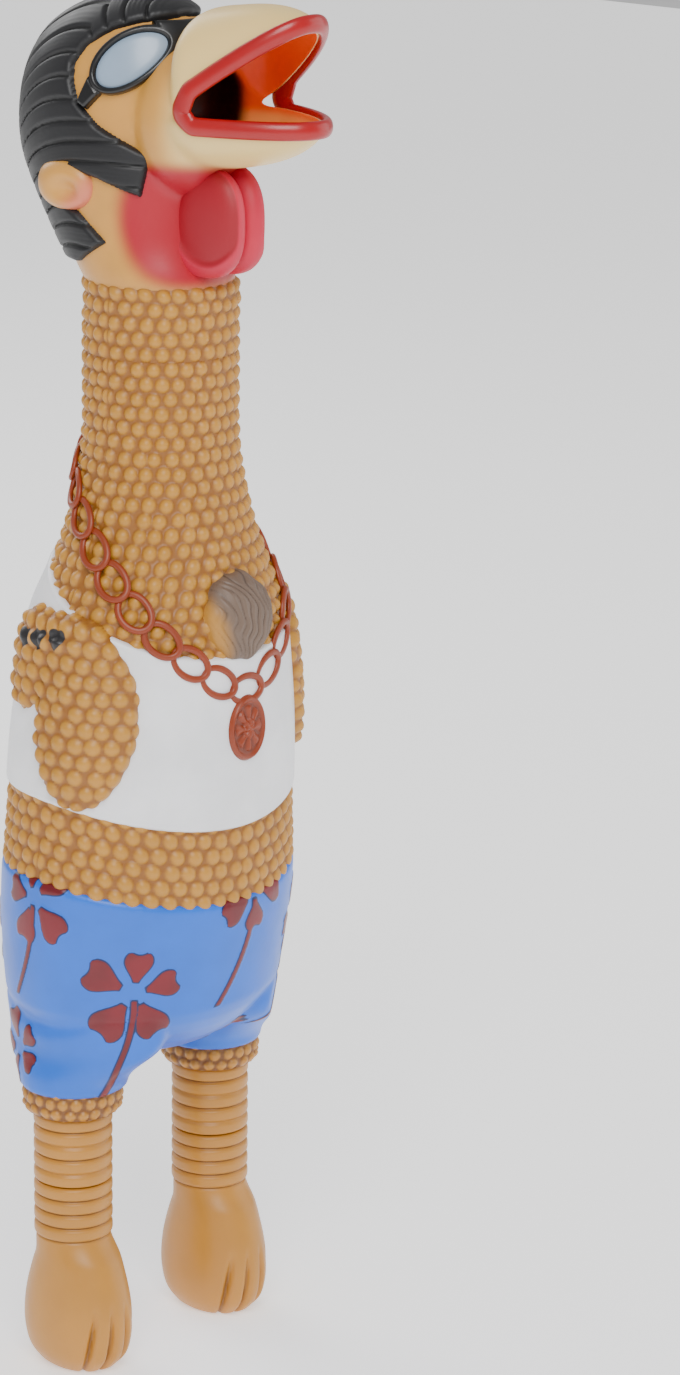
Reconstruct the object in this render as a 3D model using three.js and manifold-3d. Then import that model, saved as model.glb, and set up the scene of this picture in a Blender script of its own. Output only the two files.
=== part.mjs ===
// A tall rubber chicken in shorts and a tank top, with a sound unit in its throat.
//
// The chicken is one hollow latex moulding. It is built here as the zones that look or bend differently:
// stacked rings of skin, raised details that lie on the skin, and the rigid pieces of the sound unit.
//
// Millimetres, +Z up, soles on z = 0, the beak towards -Y. The mould's parting plane is y = 0 while the
// chicken is built; the finished group is then moved along Y so that the origin is under its middle.

import * as THREE from "three";
import { mergeVertices } from "three/addons/utils/BufferGeometryUtils.js";
import Module from "manifold-3d";

const wasm = await Module();
wasm.setup();

// ---- driving dimensions ----

const GAP = 0.3; // left between touching pieces
const WALL = 2.4; // latex wall
const RELIEF = 1.6; // how far painted details stand out of the skin

// Heights of the zones, from the soles up
const ANKLE_Z = 44;
const HEM_Z = 94; // bottom of the shorts' legs
const CROTCH_Z = 102;
const WAIST_Z = 158; // top of the shorts
const SHIRT_HEM_Z = 182;
const NECKLINE_Z = 253; // the tank top's neckline at the parting plane
const NECKLINE_SLOPE = 0.45; // it drops towards the chest
const HEAD_Z = 346; // where the neck becomes the head
const CHEEK_Z = 391; // widest level of the head
const CROWN_Z = 430;

// Body and neck
const BODY_WIDTH = 100.8;
const BODY_DEPTH = 81.2;
const NECK_RADIUS = 23.8;

// Head
const HEAD_WIDTH = 53;
const HEAD_DEPTH = 66;

// Legs and feet
const LEG_X = 31.5;
const LEG_Y = 3.5;
const SHIN_RADIUS = 12.4;
const CUFF_HEIGHT = 8.7;
const HEM_RADIUS = 17;
const FOOT_WIDTH = 29;
const FOOT_LENGTH = 39;
const SOLE_SHARE = 0.55; // flat part of the foot's outline

// Bending zones: the middle height and the half height of each
const NECK_BEND_Z = 310;
const NECK_BEND_HALF = 9;
const HEAD_BEND_Z = 337.5;
const HEAD_BEND_HALF = 7.5;
const HIP_Z = 77;
const HIP_HALF = 7.5;
const FOOT_BEND_Z = 50.5;
const FOOT_BEND_HALF = 6;

// Beak and mouth
const MOUTH_Y = -32; // mouth corners, and the line the lower beak bends about
const MOUTH_Z = 401;
const BEAK_LENGTH = 38;
const BEAK_WIDTH = 45;
const BEAK_HEIGHT = 44;
const BILL_ROOT = 0.4; // how far the upper beak runs back into the head, as a share of its length
const CHIN_ROOT = 0.75; // the same for the lower beak
const UPPER_LIP_SLOPE = 0.72; // the upper beak gapes upwards
const LOWER_BEAK_WIDTH = 42;
const LOWER_BEAK_DEPTH = 15;
const CHIN_FLEX = 3.2; // strip of skin that bends below the mouth corners
const THROAT = [16, 14, 12]; // half sizes of the opening from the mouth into the hollow head

// Squeeze zone in the back
const PRESS_Z = 207;
const PRESS_WIDTH = 46;
const PRESS_HEIGHT = 50;

// Sound unit
const BARREL_RADIUS = 9;
const BARREL_WALL = 1.4;
const BARREL_LENGTH = 27;
const BARREL_Z = 352;
const BARREL_Y = -1;
const REED_LENGTH = 16;
const REED_WIDTH = 5;
const REED_THICKNESS = 0.5;

const SIDES = 24;
const LEG_SIDES = 16;

// ---- solids ----

function solid(geometry) {
  const bare = geometry.clone();
  bare.deleteAttribute("normal");
  bare.deleteAttribute("uv");
  const merged = mergeVertices(bare, 1e-4);
  return new wasm.Manifold(
    new wasm.Mesh({
      numProp: 3,
      vertProperties: new Float32Array(merged.attributes.position.array),
      triVerts: new Uint32Array(merged.index.array),
    }),
  );
}

// Keeps only the largest body, so a sliver cut off at an edge isn't left behind.
function largest(shape) {
  const bodies = shape.decompose();
  return bodies.reduce((best, body) => (body.volume() > best.volume() ? body : best));
}

function geometryOf(manifold) {
  const { numProp, vertProperties, triVerts } = manifold.getMesh();
  const xyz = new Float32Array((vertProperties.length / numProp) * 3);
  for (let i = 0; i < xyz.length / 3; i++) {
    for (let k = 0; k < 3; k++) {
      xyz[i * 3 + k] = vertProperties[i * numProp + k];
    }
  }
  const geometry = new THREE.BufferGeometry();
  geometry.setAttribute("position", new THREE.BufferAttribute(xyz, 3));
  geometry.setIndex(new THREE.BufferAttribute(new Uint32Array(triVerts), 1));
  geometry.computeVertexNormals();
  return geometry;
}

const chicken = new THREE.Group();

function piece(name, shape, material) {
  const geometry = shape instanceof wasm.Manifold ? geometryOf(shape) : shape;
  const mesh = new THREE.Mesh(geometry, material);
  mesh.name = name;
  chicken.add(mesh);
  return mesh;
}

function paint(color, roughness, metalness = 0) {
  return new THREE.MeshStandardMaterial({ color, roughness, metalness });
}

const TAN = paint("#dcb077", 0.55);
const CREAM = paint("#e6c592", 0.5);
const WHITE = paint("#f0eff2", 0.5);
const BLUE = paint("#178cf0", 0.4);
const BLACK = paint("#1d1d22", 0.4);
const HAIR = paint("#3a3a40", 0.5);
const LENS = paint("#aabbcc", 0.3);
const RED = paint("#d81b48", 0.35);
const COPPER = paint("#9a4320", 0.45);
const TUFT = paint("#7b6a5c", 0.7);
const PLASTIC = paint("#e9e6dc", 0.4);
const REED = paint("#c9c9c4", 0.35, 0.6);

// ---- the shape of the skin ----

function smooth(t) {
  const s = THREE.MathUtils.clamp(t, 0, 1);
  return s * s * (3 - 2 * s);
}

// A value that follows [height, value] pairs along a smooth curve.
function follow(pairs, z) {
  const last = pairs.length - 1;
  if (z <= pairs[0][0]) return pairs[0][1];
  if (z >= pairs[last][0]) return pairs[last][1];
  const i = pairs.findIndex((pair) => pair[0] > z) - 1;
  const [z0, v0] = pairs[i];
  const [z1, v1] = pairs[i + 1];
  const before = pairs[Math.max(i - 1, 0)];
  const after = pairs[Math.min(i + 2, last)];
  const h = z1 - z0;
  const m0 = ((v1 - before[1]) / (z1 - before[0])) * h;
  const m1 = ((after[1] - v0) / (after[0] - z0)) * h;
  const t = (z - z0) / h;
  const t2 = t * t;
  const t3 = t2 * t;
  return (2 * t3 - 3 * t2 + 1) * v0 + (t3 - 2 * t2 + t) * m0 + (3 * t2 - 2 * t3) * v1 + (t3 - t2) * m1;
}

// How full the body is at each height: 0 is the neck's radius and 1 the body's widest section.
const FULLNESS = [
  [96, 0.7],
  [110, 0.8],
  [136, 0.94],
  [156, 1],
  [182, 0.955],
  [208, 0.905],
  [230, 0.8],
  [246, 0.69],
  [259, 0.45],
  [272, 0.24],
  [291, 0.05],
  [303, 0],
];

// The skin's centre line leans forward at the neck and back at the head.
const CENTRE_Y = [
  [100, 4],
  [129, 3],
  [156, 1],
  [182, 0],
  [230, -2.5],
  [259, -4],
  [335, -4.5],
  [346, -4.5],
  [362, 3],
  [381, 9.3],
  [391, 10.7],
  [403, 10.5],
  [412, 9.5],
  [421, 7.5],
  [430, 3],
];

const CROWN_POWER = 2.5; // how square the crown's outline is
const CROWN_TIP = 1; // the crown's flat cap lies this far under the outline's peak

// Half width, half depth and centre of the skin's ellipse at a height
function section(z) {
  const y = follow(CENTRE_Y, z);
  if (z < HEAD_Z) {
    const f = follow(FULLNESS, z);
    const a = NECK_RADIUS + (BODY_WIDTH / 2 - NECK_RADIUS) * f;
    const b = NECK_RADIUS + (BODY_DEPTH / 2 - NECK_RADIUS) * f;
    return { a, b, y };
  }
  const swell = smooth((z - HEAD_Z) / (CHEEK_Z - HEAD_Z));
  const q = Math.max(z - CHEEK_Z, 0) / (CROWN_Z + CROWN_TIP - CHEEK_Z);
  const close = (1 - q ** CROWN_POWER) ** (1 / CROWN_POWER);
  const a = (NECK_RADIUS + (HEAD_WIDTH / 2 - NECK_RADIUS) * swell) * close;
  const b = (NECK_RADIUS + (HEAD_DEPTH / 2 - NECK_RADIUS) * swell) * close;
  return { a, b, y };
}

// A lathed outline of [share of the radius, height, offset] points, pressed onto the skin's ellipses.
function onSkin(outline, ellipse = section, sides = SIDES) {
  const codes = outline.map(([share, z]) => new THREE.Vector2(share, z));
  const geometry = new THREE.LatheGeometry(codes, sides);
  const position = geometry.attributes.position;
  for (let i = 0; i < position.count; i++) {
    const [share, z, offset] = outline[i % outline.length];
    const turn = (Math.floor(i / outline.length) / sides) * 2 * Math.PI;
    const { a, b, y, x = 0 } = ellipse(z);
    const lift = z === CROWN_Z ? offset : 0;
    position.setXYZ(
      i,
      x + share * (a + offset) * Math.sin(turn),
      y - share * (b + offset) * Math.cos(turn),
      z + lift,
    );
  }
  return geometry;
}

function levels(low, high, step = 11) {
  const count = Math.max(1, Math.ceil((high - low) / step));
  return Array.from({ length: count + 1 }, (_, i) => low + ((high - low) * i) / count);
}

// A ring of skin, open at both ends
function tube(low, high, ellipse = section, sides = SIDES, thickness = WALL) {
  const up = levels(low, high).map((z) => [1, z, 0]);
  const down = levels(low, high).reverse().map((z) => [1, z, -thickness]);
  return onSkin([...up, ...down, up[0]], ellipse, sides);
}

// The same stretch filled solid, grown or shrunk by an offset
function filled(low, high, offset = 0, ellipse = section, sides = SIDES) {
  const up = levels(low, high).map((z) => [1, z, offset]);
  return onSkin([[0, low, offset], ...up, [0, high, offset]], ellipse, sides);
}

// An ellipsoid, squarer as power rises above 2
function bulge(semi, centre, power = 2, across = 18, down = 12) {
  const geometry = new THREE.SphereGeometry(1, across, down);
  const position = geometry.attributes.position;
  const p = new THREE.Vector3();
  for (let i = 0; i < position.count; i++) {
    p.fromBufferAttribute(position, i);
    const sum = Math.abs(p.x) ** power + Math.abs(p.y) ** power + Math.abs(p.z) ** power;
    p.divideScalar(sum ** (1 / power));
    position.setXYZ(i, p.x * semi[0] + centre[0], p.y * semi[1] + centre[1], p.z * semi[2] + centre[2]);
  }
  return geometry;
}

function block(low, high) {
  const size = high.map((value, i) => value - low[i]);
  const geometry = new THREE.BoxGeometry(...size);
  return geometry.translate(...low.map((value, i) => value + size[i] / 2));
}

const FAR = 200; // larger than any cut needs

// An outline in the side view, [y, z] points, run through in X between two values
function sidePrism(points, low = -FAR, high = FAR) {
  const shape = new THREE.Shape(points.map(([y, z]) => new THREE.Vector2(y, z)));
  const geometry = new THREE.ExtrudeGeometry(shape, { depth: high - low, bevelEnabled: false });
  const basis = new THREE.Matrix4().makeBasis(
    new THREE.Vector3(0, 1, 0),
    new THREE.Vector3(0, 0, 1),
    new THREE.Vector3(1, 0, 0),
  );
  return solid(geometry.applyMatrix4(basis).translate(low, 0, 0));
}

function oval(centre, semi, tilt, grow = 0, count = 24) {
  return Array.from({ length: count }, (_, i) => {
    const turn = (i / count) * 2 * Math.PI;
    const u = (semi[0] + grow) * Math.cos(turn);
    const v = (semi[1] + grow) * Math.sin(turn);
    return [
      centre[0] + u * Math.cos(tilt) - v * Math.sin(tilt),
      centre[1] + u * Math.sin(tilt) + v * Math.cos(tilt),
    ];
  });
}

// ---- trunk: shorts, waist, tank top and chest ----

const THIGH_RISE = 24; // height over which a leg of the shorts narrows to its hem
const THIGH_WIDTH = 26;
const THIGH_INSET = 4; // keeps the thigh's top inside the seat

// Each leg of the shorts narrows from the hip to its hem.
function thigh(side, z) {
  const t = smooth((z - HEM_Z) / THIGH_RISE);
  return {
    x: side * THREE.MathUtils.lerp(LEG_X, BODY_WIDTH / 2 - THIGH_WIDTH, t),
    y: LEG_Y,
    a: THREE.MathUtils.lerp(HEM_RADIUS, THIGH_WIDTH - THIGH_INSET, t),
    b: THREE.MathUtils.lerp(HEM_RADIUS, BODY_DEPTH / 2 - THIGH_INSET, t),
  };
}

const SEAT = [
  [0, CROTCH_Z, 0],
  [0.55, CROTCH_Z, 0],
  [0.85, CROTCH_Z + 4, 0],
  [0.97, CROTCH_Z + 11, 0],
];

function seat(inset, high) {
  const lower = SEAT.map(([share, z]) => [share, z + inset, -inset]);
  const upper = levels(CROTCH_Z + 20, high).map((z) => [1, z, -inset]);
  return solid(onSkin([...lower, ...upper, [0, high, -inset]]));
}

function shorts() {
  const thighTop = HEM_Z + THIGH_RISE;
  let outer = seat(0, WAIST_Z - GAP);
  let inner = seat(WALL, WAIST_Z + 10);
  for (const side of [-1, 1]) {
    const leg = (z) => thigh(side, z);
    outer = outer.add(solid(filled(HEM_Z, thighTop, 0, leg, LEG_SIDES)));
    inner = inner.add(solid(filled(HEM_Z - 5, thighTop, -WALL, leg, LEG_SIDES)));
  }
  return outer.subtract(inner);
}

piece("shorts", shorts(), BLUE);
piece("waist_band", tube(WAIST_Z, SHIRT_HEM_Z - GAP), TAN);

const SHIRT_TOP = NECKLINE_Z + NECKLINE_SLOPE * (BODY_DEPTH / 2);

// Everything below the sloping neckline, lowered by a gap
function belowNeckline(drop) {
  const edge = (y) => NECKLINE_Z + NECKLINE_SLOPE * y - drop;
  return sidePrism([
    [-FAR / 2, 0],
    [FAR / 2, 0],
    [FAR / 2, edge(FAR / 2)],
    [-FAR / 2, edge(-FAR / 2)],
  ]);
}

// The oval of the back that is pressed in, run through the back wall
function pressOval(grow) {
  const points = oval([0, PRESS_Z], [PRESS_WIDTH / 2, PRESS_HEIGHT / 2], 0, grow);
  const shape = new THREE.Shape(points.map(([x, z]) => new THREE.Vector2(x, z)));
  const geometry = new THREE.ExtrudeGeometry(shape, { depth: FAR, bevelEnabled: false });
  return solid(geometry.rotateX(Math.PI / 2).translate(0, FAR, 0));
}

const shirtRing = solid(tube(SHIRT_HEM_Z, SHIRT_TOP)).intersect(belowNeckline(GAP / 2));
piece("tank_top", shirtRing.subtract(pressOval(GAP)), WHITE);
piece("back_press_zone", shirtRing.intersect(pressOval(0)), WHITE);

const chestLow = NECKLINE_Z - NECKLINE_SLOPE * (BODY_DEPTH / 2) - 10;
const chestRing = solid(tube(chestLow, NECK_BEND_Z - NECK_BEND_HALF - GAP));
piece("chest_and_neck_base", chestRing.subtract(belowNeckline(-GAP / 2)), TAN);

// ---- neck ----

piece("neck_bend", tube(NECK_BEND_Z - NECK_BEND_HALF, NECK_BEND_Z + NECK_BEND_HALF), TAN);
piece("neck", tube(NECK_BEND_Z + NECK_BEND_HALF + GAP, HEAD_BEND_Z - HEAD_BEND_HALF - GAP), TAN);
piece("nape_bend", tube(HEAD_BEND_Z - HEAD_BEND_HALF, HEAD_BEND_Z + HEAD_BEND_HALF), TAN);

// ---- head ----

const headLow = HEAD_BEND_Z + HEAD_BEND_HALF + GAP;

// A beak half: long in front of its centre, short behind it, rising and narrowing forwards
function beak(semi, centre, { power, rise, taper, root }, shrink) {
  const small = semi.map((value) => value - shrink);
  const geometry = bulge(small, centre, power);
  const position = geometry.attributes.position;
  for (let i = 0; i < position.count; i++) {
    const forward = centre[1] - position.getY(i);
    if (forward > 0) {
      position.setX(i, position.getX(i) * (1 - (taper * forward) / semi[1]));
      position.setZ(i, position.getZ(i) + forward * rise);
    } else {
      position.setY(i, centre[1] - forward * root);
    }
  }
  return solid(geometry);
}

const upperSemi = [BEAK_WIDTH / 2, BEAK_LENGTH, BEAK_HEIGHT / 2];
const upperCentre = [0, MOUTH_Y - 2, MOUTH_Z + 9];
const lowerSemi = [LOWER_BEAK_WIDTH / 2, BEAK_LENGTH - 1, LOWER_BEAK_DEPTH];
const lowerCentre = [0, MOUTH_Y - 4, MOUTH_Z - 2];
const upperForm = { power: 2.6, rise: 0.16, taper: 0.3, root: BILL_ROOT };
const lowerForm = { power: 2.4, rise: 0, taper: 0.15, root: CHIN_ROOT };
const upperBeak = (shrink) => beak(upperSemi, upperCentre, upperForm, shrink);
const lowerBeak = (shrink) => beak(lowerSemi, lowerCentre, lowerForm, shrink);

// The space above the line from the mouth corners to the upper beak's tip
const aboveUpperLip = sidePrism([
  [FAR / 2, MOUTH_Z + 3],
  [MOUTH_Y, MOUTH_Z + 3],
  [MOUTH_Y - FAR / 2, MOUTH_Z + 3 + (UPPER_LIP_SLOPE * FAR) / 2],
  [MOUTH_Y - FAR / 2, 3 * FAR],
  [FAR / 2, 3 * FAR],
]);
const belowLowerLip = solid(block([-FAR, -FAR, 0], [FAR, FAR, MOUTH_Z - 1]));
const chinBack = MOUTH_Y + GAP;
const chinFront = MOUTH_Y - CHIN_FLEX;
const behindMouth = solid(block([-FAR, chinBack, 0], [FAR, FAR, 3 * FAR]));
const chinStrip = solid(block([-FAR, chinFront, 0], [FAR, MOUTH_Y, 3 * FAR]));
const beforeMouth = solid(block([-FAR, -FAR, 0], [FAR, chinFront - GAP, 3 * FAR]));

const headOuter = solid(filled(headLow, CROWN_Z, 0));
const headInner = solid(filled(headLow - 5, CROWN_Z, -WALL));
const lowerBowl = lowerBeak(0).subtract(lowerBeak(WALL)).intersect(belowLowerLip);

function headShell() {
  const bill = upperBeak(0).intersect(aboveUpperLip);
  const chin = lowerBeak(0).intersect(belowLowerLip).intersect(behindMouth);
  const throat = solid(bulge(THROAT, [0, MOUTH_Y + THROAT[1] - 1, MOUTH_Z], 2.6));
  const mouth = upperBeak(WALL).add(lowerBeak(WALL)).add(throat);
  return headOuter.add(bill).add(chin).subtract(headInner).subtract(mouth);
}

const head = largest(headShell());
piece("head_and_upper_beak", head, CREAM);
piece("chin_bend", lowerBowl.intersect(chinStrip).subtract(headOuter), CREAM);
piece("lower_beak", lowerBowl.intersect(beforeMouth), RED);

// Raised details lie on the head: a skin between two offsets, cut to an outline in the side view.
const headGrown = (offset) => solid(filled(headLow, CROWN_Z, offset));
const beakKeepOut = upperBeak(-GAP).add(lowerBeak(-GAP));
const skinOn = (thickness) => headGrown(GAP + thickness).subtract(headGrown(GAP)).subtract(beakKeepOut);

const HAIR_OUTLINE = [
  [-14, 426.5],
  [-8, 425.3],
  [-2, 423.2],
  [4.7, 418.5],
  [7.8, 413],
  [7.2, 408],
  [4.8, 402.3],
  [-2.5, 395.5],
  [-16, 387.5],
  [-14, 374.5],
  [-1.8, 379.5],
  [8, 382],
  [14, 374],
  [5, 369],
  [-4.8, 360.6],
  [7, 353.4],
  [60, 353.4],
  [60, 450],
  [-14, 450],
];
const EAR = { y: 10.5, z: 377, semi: [7, 11, 8.3] };

function ear(side, grow = 0) {
  const semi = EAR.semi.map((value) => value + grow);
  return solid(bulge(semi, [side * (HEAD_WIDTH / 2 - 2), EAR.y, EAR.z], 2, 14, 10));
}

const hairSkin = skinOn(RELIEF).intersect(sidePrism(HAIR_OUTLINE));
const hair = hairSkin.subtract(ear(-1, GAP)).subtract(ear(1, GAP));
piece("hair", largest(hair), HAIR);

// An outline's prism with a margin all round
function grownOutline(points, margin) {
  let grown = sidePrism(points);
  for (const [dy, dz] of [[-1, 0], [1, 0], [0, -1], [0, 1]]) {
    grown = grown.add(sidePrism(points.map(([y, z]) => [y + dy * margin, z + dz * margin])));
  }
  return grown;
}

const LENS_CENTRE = [-8.8, 414.7];
const LENS_SEMI = [9.8, 6];
const LENS_TILT = 2.32; // the lens leans up and forwards
const RIM = 2; // width of the frame around a lens
const BRIDGE = 4; // half width of the frame's middle
const lensPrism = (grow, low, high) => sidePrism(oval(LENS_CENTRE, LENS_SEMI, LENS_TILT, grow), low, high);

function glasses() {
  const temple = sidePrism([
    [-3, 405],
    [1.5, 400],
    [4.5, 403],
    [0, 410],
  ]);
  const brow = sidePrism([
    [-30, 419],
    [-10, 419],
    [-10, 425.5],
    [-30, 425.5],
  ], -10, 10);
  const rims = lensPrism(RIM, -FAR, FAR).add(temple).add(brow);
  const holes = lensPrism(0, -FAR, -BRIDGE).add(lensPrism(0, BRIDGE, FAR));
  return skinOn(RELIEF).intersect(rims).subtract(holes).subtract(hairKeepOut);
}

const hairKeepOut = grownOutline(HAIR_OUTLINE, GAP);
piece("sunglasses_frame", largest(glasses()), BLACK);
for (const [name, side] of [["right", -1], ["left", 1]]) {
  const range = side < 0 ? [-FAR, -BRIDGE - GAP] : [BRIDGE + GAP, FAR];
  const glass = skinOn(RELIEF / 2).intersect(lensPrism(-GAP, ...range));
  piece(`sunglasses_lens_${name}`, largest(glass.subtract(hairKeepOut)), LENS);

  piece(`ear_${name}`, largest(ear(side).subtract(headGrown(GAP))), CREAM);

  const wattle = solid(bulge([8.4, 15, 14], [side * 8.7, -31, 367], 2.4, 14, 12));
  piece(`wattle_${name}`, largest(wattle.subtract(headGrown(GAP)).subtract(hairSkin).subtract(lowerBeak(-CHIN_FLEX / 2))), RED);
}

// ---- sound unit in the throat ----

const flangeZ = BARREL_Z;
const FLANGE = 3;
const bore = BARREL_RADIUS - BARREL_WALL;

function cylinder(radius, low, high, sides = 24) {
  const geometry = new THREE.CylinderGeometry(radius, radius, high - low, sides);
  return solid(geometry.rotateX(Math.PI / 2).translate(0, BARREL_Y, (low + high) / 2));
}

function barrel() {
  const rim = solid(filled(flangeZ, flangeZ + FLANGE, -WALL - GAP));
  const wall = cylinder(BARREL_RADIUS, flangeZ, flangeZ + BARREL_LENGTH);
  return rim.add(wall).subtract(cylinder(bore, flangeZ - 1, flangeZ + BARREL_LENGTH + 1));
}

const baseLow = flangeZ + 3;
const baseHigh = baseLow + REED_LENGTH + 4;
const baseFace = BARREL_Y; // the flat that the reed lies against

function reedBase() {
  const plug = cylinder(bore - GAP, baseLow, baseHigh);
  const half = solid(block([-FAR, baseFace, 0], [FAR, FAR, 3 * FAR]));
  const slot = solid(block([-1.5, -FAR, baseLow + 4], [1.5, baseFace + 4, baseHigh - 2]));
  return plug.intersect(half).subtract(slot);
}

function reed() {
  const front = baseFace - GAP;
  return solid(
    block([-REED_WIDTH / 2, front - REED_THICKNESS, baseLow + 2], [REED_WIDTH / 2, front, baseLow + 2 + REED_LENGTH]),
  );
}

function barrelCap() {
  const disc = cylinder(BARREL_RADIUS, flangeZ + BARREL_LENGTH + GAP, flangeZ + BARREL_LENGTH + 2);
  return disc.subtract(cylinder(3, 0, 3 * FAR, 16));
}

piece("squawker_barrel", barrel(), PLASTIC);
piece("squawker_reed_base", reedBase(), PLASTIC);
piece("squawker_reed", reed(), REED);
piece("squawker_cap", barrelCap(), PLASTIC);

// ---- details on the body ----

const CHAIN_LOW = 224.5; // the chain's lowest point, above the pendant
const CHAIN_RISE = 78; // scales how high it climbs round the neck
const CHAIN_EASE = 0.12; // rounds its lowest point
const CHAIN_WIDTH = 7;

function chainHeight(turn) {
  const s = Math.sin(turn / 2);
  return CHAIN_LOW + CHAIN_RISE * (Math.sqrt(s * s + CHAIN_EASE * CHAIN_EASE) - CHAIN_EASE);
}

// The chain's links are one raised band of skin that loops round the neck's base.
function necklace() {
  const half = CHAIN_WIDTH / 2;
  const loop = [
    [-half, GAP],
    [-half, GAP + RELIEF],
    [half, GAP + RELIEF],
    [half, GAP],
    [-half, GAP],
  ];
  const count = 36;
  const codes = loop.map(([rise, offset]) => new THREE.Vector2(10 + offset, rise));
  const geometry = new THREE.LatheGeometry(codes, count);
  const position = geometry.attributes.position;
  for (let i = 0; i < position.count; i++) {
    const [rise, offset] = loop[i % loop.length];
    const turn = (Math.floor(i / loop.length) / count) * 2 * Math.PI;
    const z = chainHeight(turn) + rise;
    const { a, b, y } = section(z);
    position.setXYZ(i, (a + offset) * Math.sin(turn), y - (b + offset) * Math.cos(turn), z);
  }
  return solid(geometry);
}

const bodyGrown = (offset) => solid(filled(WAIST_Z, NECK_BEND_Z - NECK_BEND_HALF, offset));
const chain = necklace().subtract(bodyGrown(GAP));
piece("necklace", largest(chain), COPPER);

const MEDAL = [8.5, 3, 10.5];
const medalZ = CHAIN_LOW - CHAIN_WIDTH / 2 - GAP - MEDAL[2];
const medalY = section(medalZ).y - section(medalZ).b;
const medal = solid(bulge(MEDAL, [0, medalY, medalZ], 2.5, 20, 10));
piece("pendant", largest(medal.subtract(bodyGrown(GAP))), COPPER);

const TUFT_SEMI = [12.5, 5, 14];
const TUFT_Z = CHAIN_LOW + 23;
const tuftY = section(TUFT_Z).y - section(TUFT_Z).b;
const tuft = solid(bulge(TUFT_SEMI, [0, tuftY, TUFT_Z], 2.2, 24, 12));
piece("chest_tuft", largest(tuft.subtract(bodyGrown(GAP)).subtract(chainBand(GAP))), TUFT);

// The band that the chain takes, with a margin above and below
function chainBand(margin) {
  const width = CHAIN_WIDTH / 2 + margin;
  const points = levels(0, 1, 0.1).map((t) => t * 30 - 15);
  const top = points.map((x) => [x, chainHeight(turnAt(x)) + width]);
  const bottom = points.map((x) => [x, chainHeight(turnAt(x)) - width]).reverse();
  const shape = new THREE.Shape([...bottom, ...top].map(([x, z]) => new THREE.Vector2(x, z)));
  const geometry = new THREE.ExtrudeGeometry(shape, { depth: FAR, bevelEnabled: false });
  return solid(geometry.rotateX(Math.PI / 2));
}

function turnAt(x) {
  return Math.asin(THREE.MathUtils.clamp(x / section(CHAIN_LOW + 10).a, -1, 1));
}

// Each wing lies folded on the side: a long paddle, and a shoulder behind its top.
const WING_THICKNESS = 5.5;
const WING_GAP = 0.6;

function wingLobe(side, turn, z, semi) {
  const { a, b, y } = section(z);
  const centre = [side * a * Math.sin(turn), y - b * Math.cos(turn), z];
  const geometry = bulge([semi[0], WING_THICKNESS, semi[1]], [0, 0, 0], 2.6, 18, 12);
  const facing = Math.atan2(side * Math.sin(turn) * b, Math.cos(turn) * a);
  return solid(geometry.rotateZ(facing).translate(...centre));
}

function wing(side) {
  const paddle = wingLobe(side, 1.22, 218, [18, 28]);
  const shoulder = wingLobe(side, 1.78, 234, [13, 16.5]);
  return paddle.add(shoulder).subtract(bodyGrown(WING_GAP)).subtract(solid(neckBandBlock()));
}

function neckBandBlock() {
  return block([-FAR, -FAR, NECK_BEND_Z - NECK_BEND_HALF - 30], [FAR, FAR, FAR * 2]);
}

// ---- legs and feet ----

function legTube(side, low, high) {
  const round = () => ({ x: side * LEG_X, y: LEG_Y, a: SHIN_RADIUS, b: SHIN_RADIUS });
  return tube(low, high, round, LEG_SIDES);
}

function cuff(side) {
  const flare = (z) => {
    const r = THREE.MathUtils.lerp(SHIN_RADIUS + 1.2, HEM_RADIUS - 0.5, (z - HEM_Z + CUFF_HEIGHT) / CUFF_HEIGHT);
    return { x: side * LEG_X, y: LEG_Y, a: r, b: r };
  };
  return tube(HEM_Z - CUFF_HEIGHT, HEM_Z - GAP, flare, LEG_SIDES);
}

const footTop = FOOT_BEND_Z - FOOT_BEND_HALF - GAP;

// Foot outline: share of the foot's half width and length at each share of its height
const FOOT_OUTLINE = [
  [0, SOLE_SHARE],
  [0.03, 0.68],
  [0.12, 0.84],
  [0.3, 0.97],
  [0.5, 1],
  [0.72, 0.93],
  [0.9, 0.8],
];

function foot(side) {
  const at = (z) => {
    const share = follow(FOOT_OUTLINE, z / ANKLE_Z);
    const t = smooth((z / ANKLE_Z - 0.55) / 0.42);
    const a = THREE.MathUtils.lerp((FOOT_WIDTH / 2) * share, SHIN_RADIUS, t);
    const b = THREE.MathUtils.lerp((FOOT_LENGTH / 2) * share, SHIN_RADIUS, t);
    return { x: side * LEG_X, y: LEG_Y - 2 * (1 - t), a, b };
  };
  const steps = FOOT_OUTLINE.map(([share]) => share * ANKLE_Z).concat(footTop);
  const up = steps.map((z) => [1, z, 0]);
  const down = steps.slice(2).reverse().map((z) => [1, z, -WALL]);
  const floor = [0, steps[2], -WALL];
  return onSkin([[0, 0, 0], ...up, ...down, floor], at, LEG_SIDES);
}

for (const [name, side] of [["right", -1], ["left", 1]]) {
  piece(`wing_${name}`, largest(wing(side)), TAN);
  piece(`leg_cuff_${name}`, cuff(side), TAN);
  piece(`hip_bend_${name}`, legTube(side, HIP_Z - HIP_HALF, HIP_Z + HIP_HALF), TAN);
  piece(`shin_${name}`, legTube(side, FOOT_BEND_Z + FOOT_BEND_HALF + GAP, HIP_Z - HIP_HALF - GAP), TAN);
  piece(`ankle_bend_${name}`, legTube(side, FOOT_BEND_Z - FOOT_BEND_HALF, FOOT_BEND_Z + FOOT_BEND_HALF), TAN);
  piece(`foot_${name}`, foot(side), TAN);
}

// The origin is on the ground under the middle of the whole chicken.
const box = new THREE.Box3().setFromObject(chicken);
chicken.position.y = -(box.min.y + box.max.y) / 2;

export default chicken;
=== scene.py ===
import math

import bmesh
import bpy
import numpy as np
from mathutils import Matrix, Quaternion, Vector
from mathutils.bvhtree import BVHTree


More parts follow.
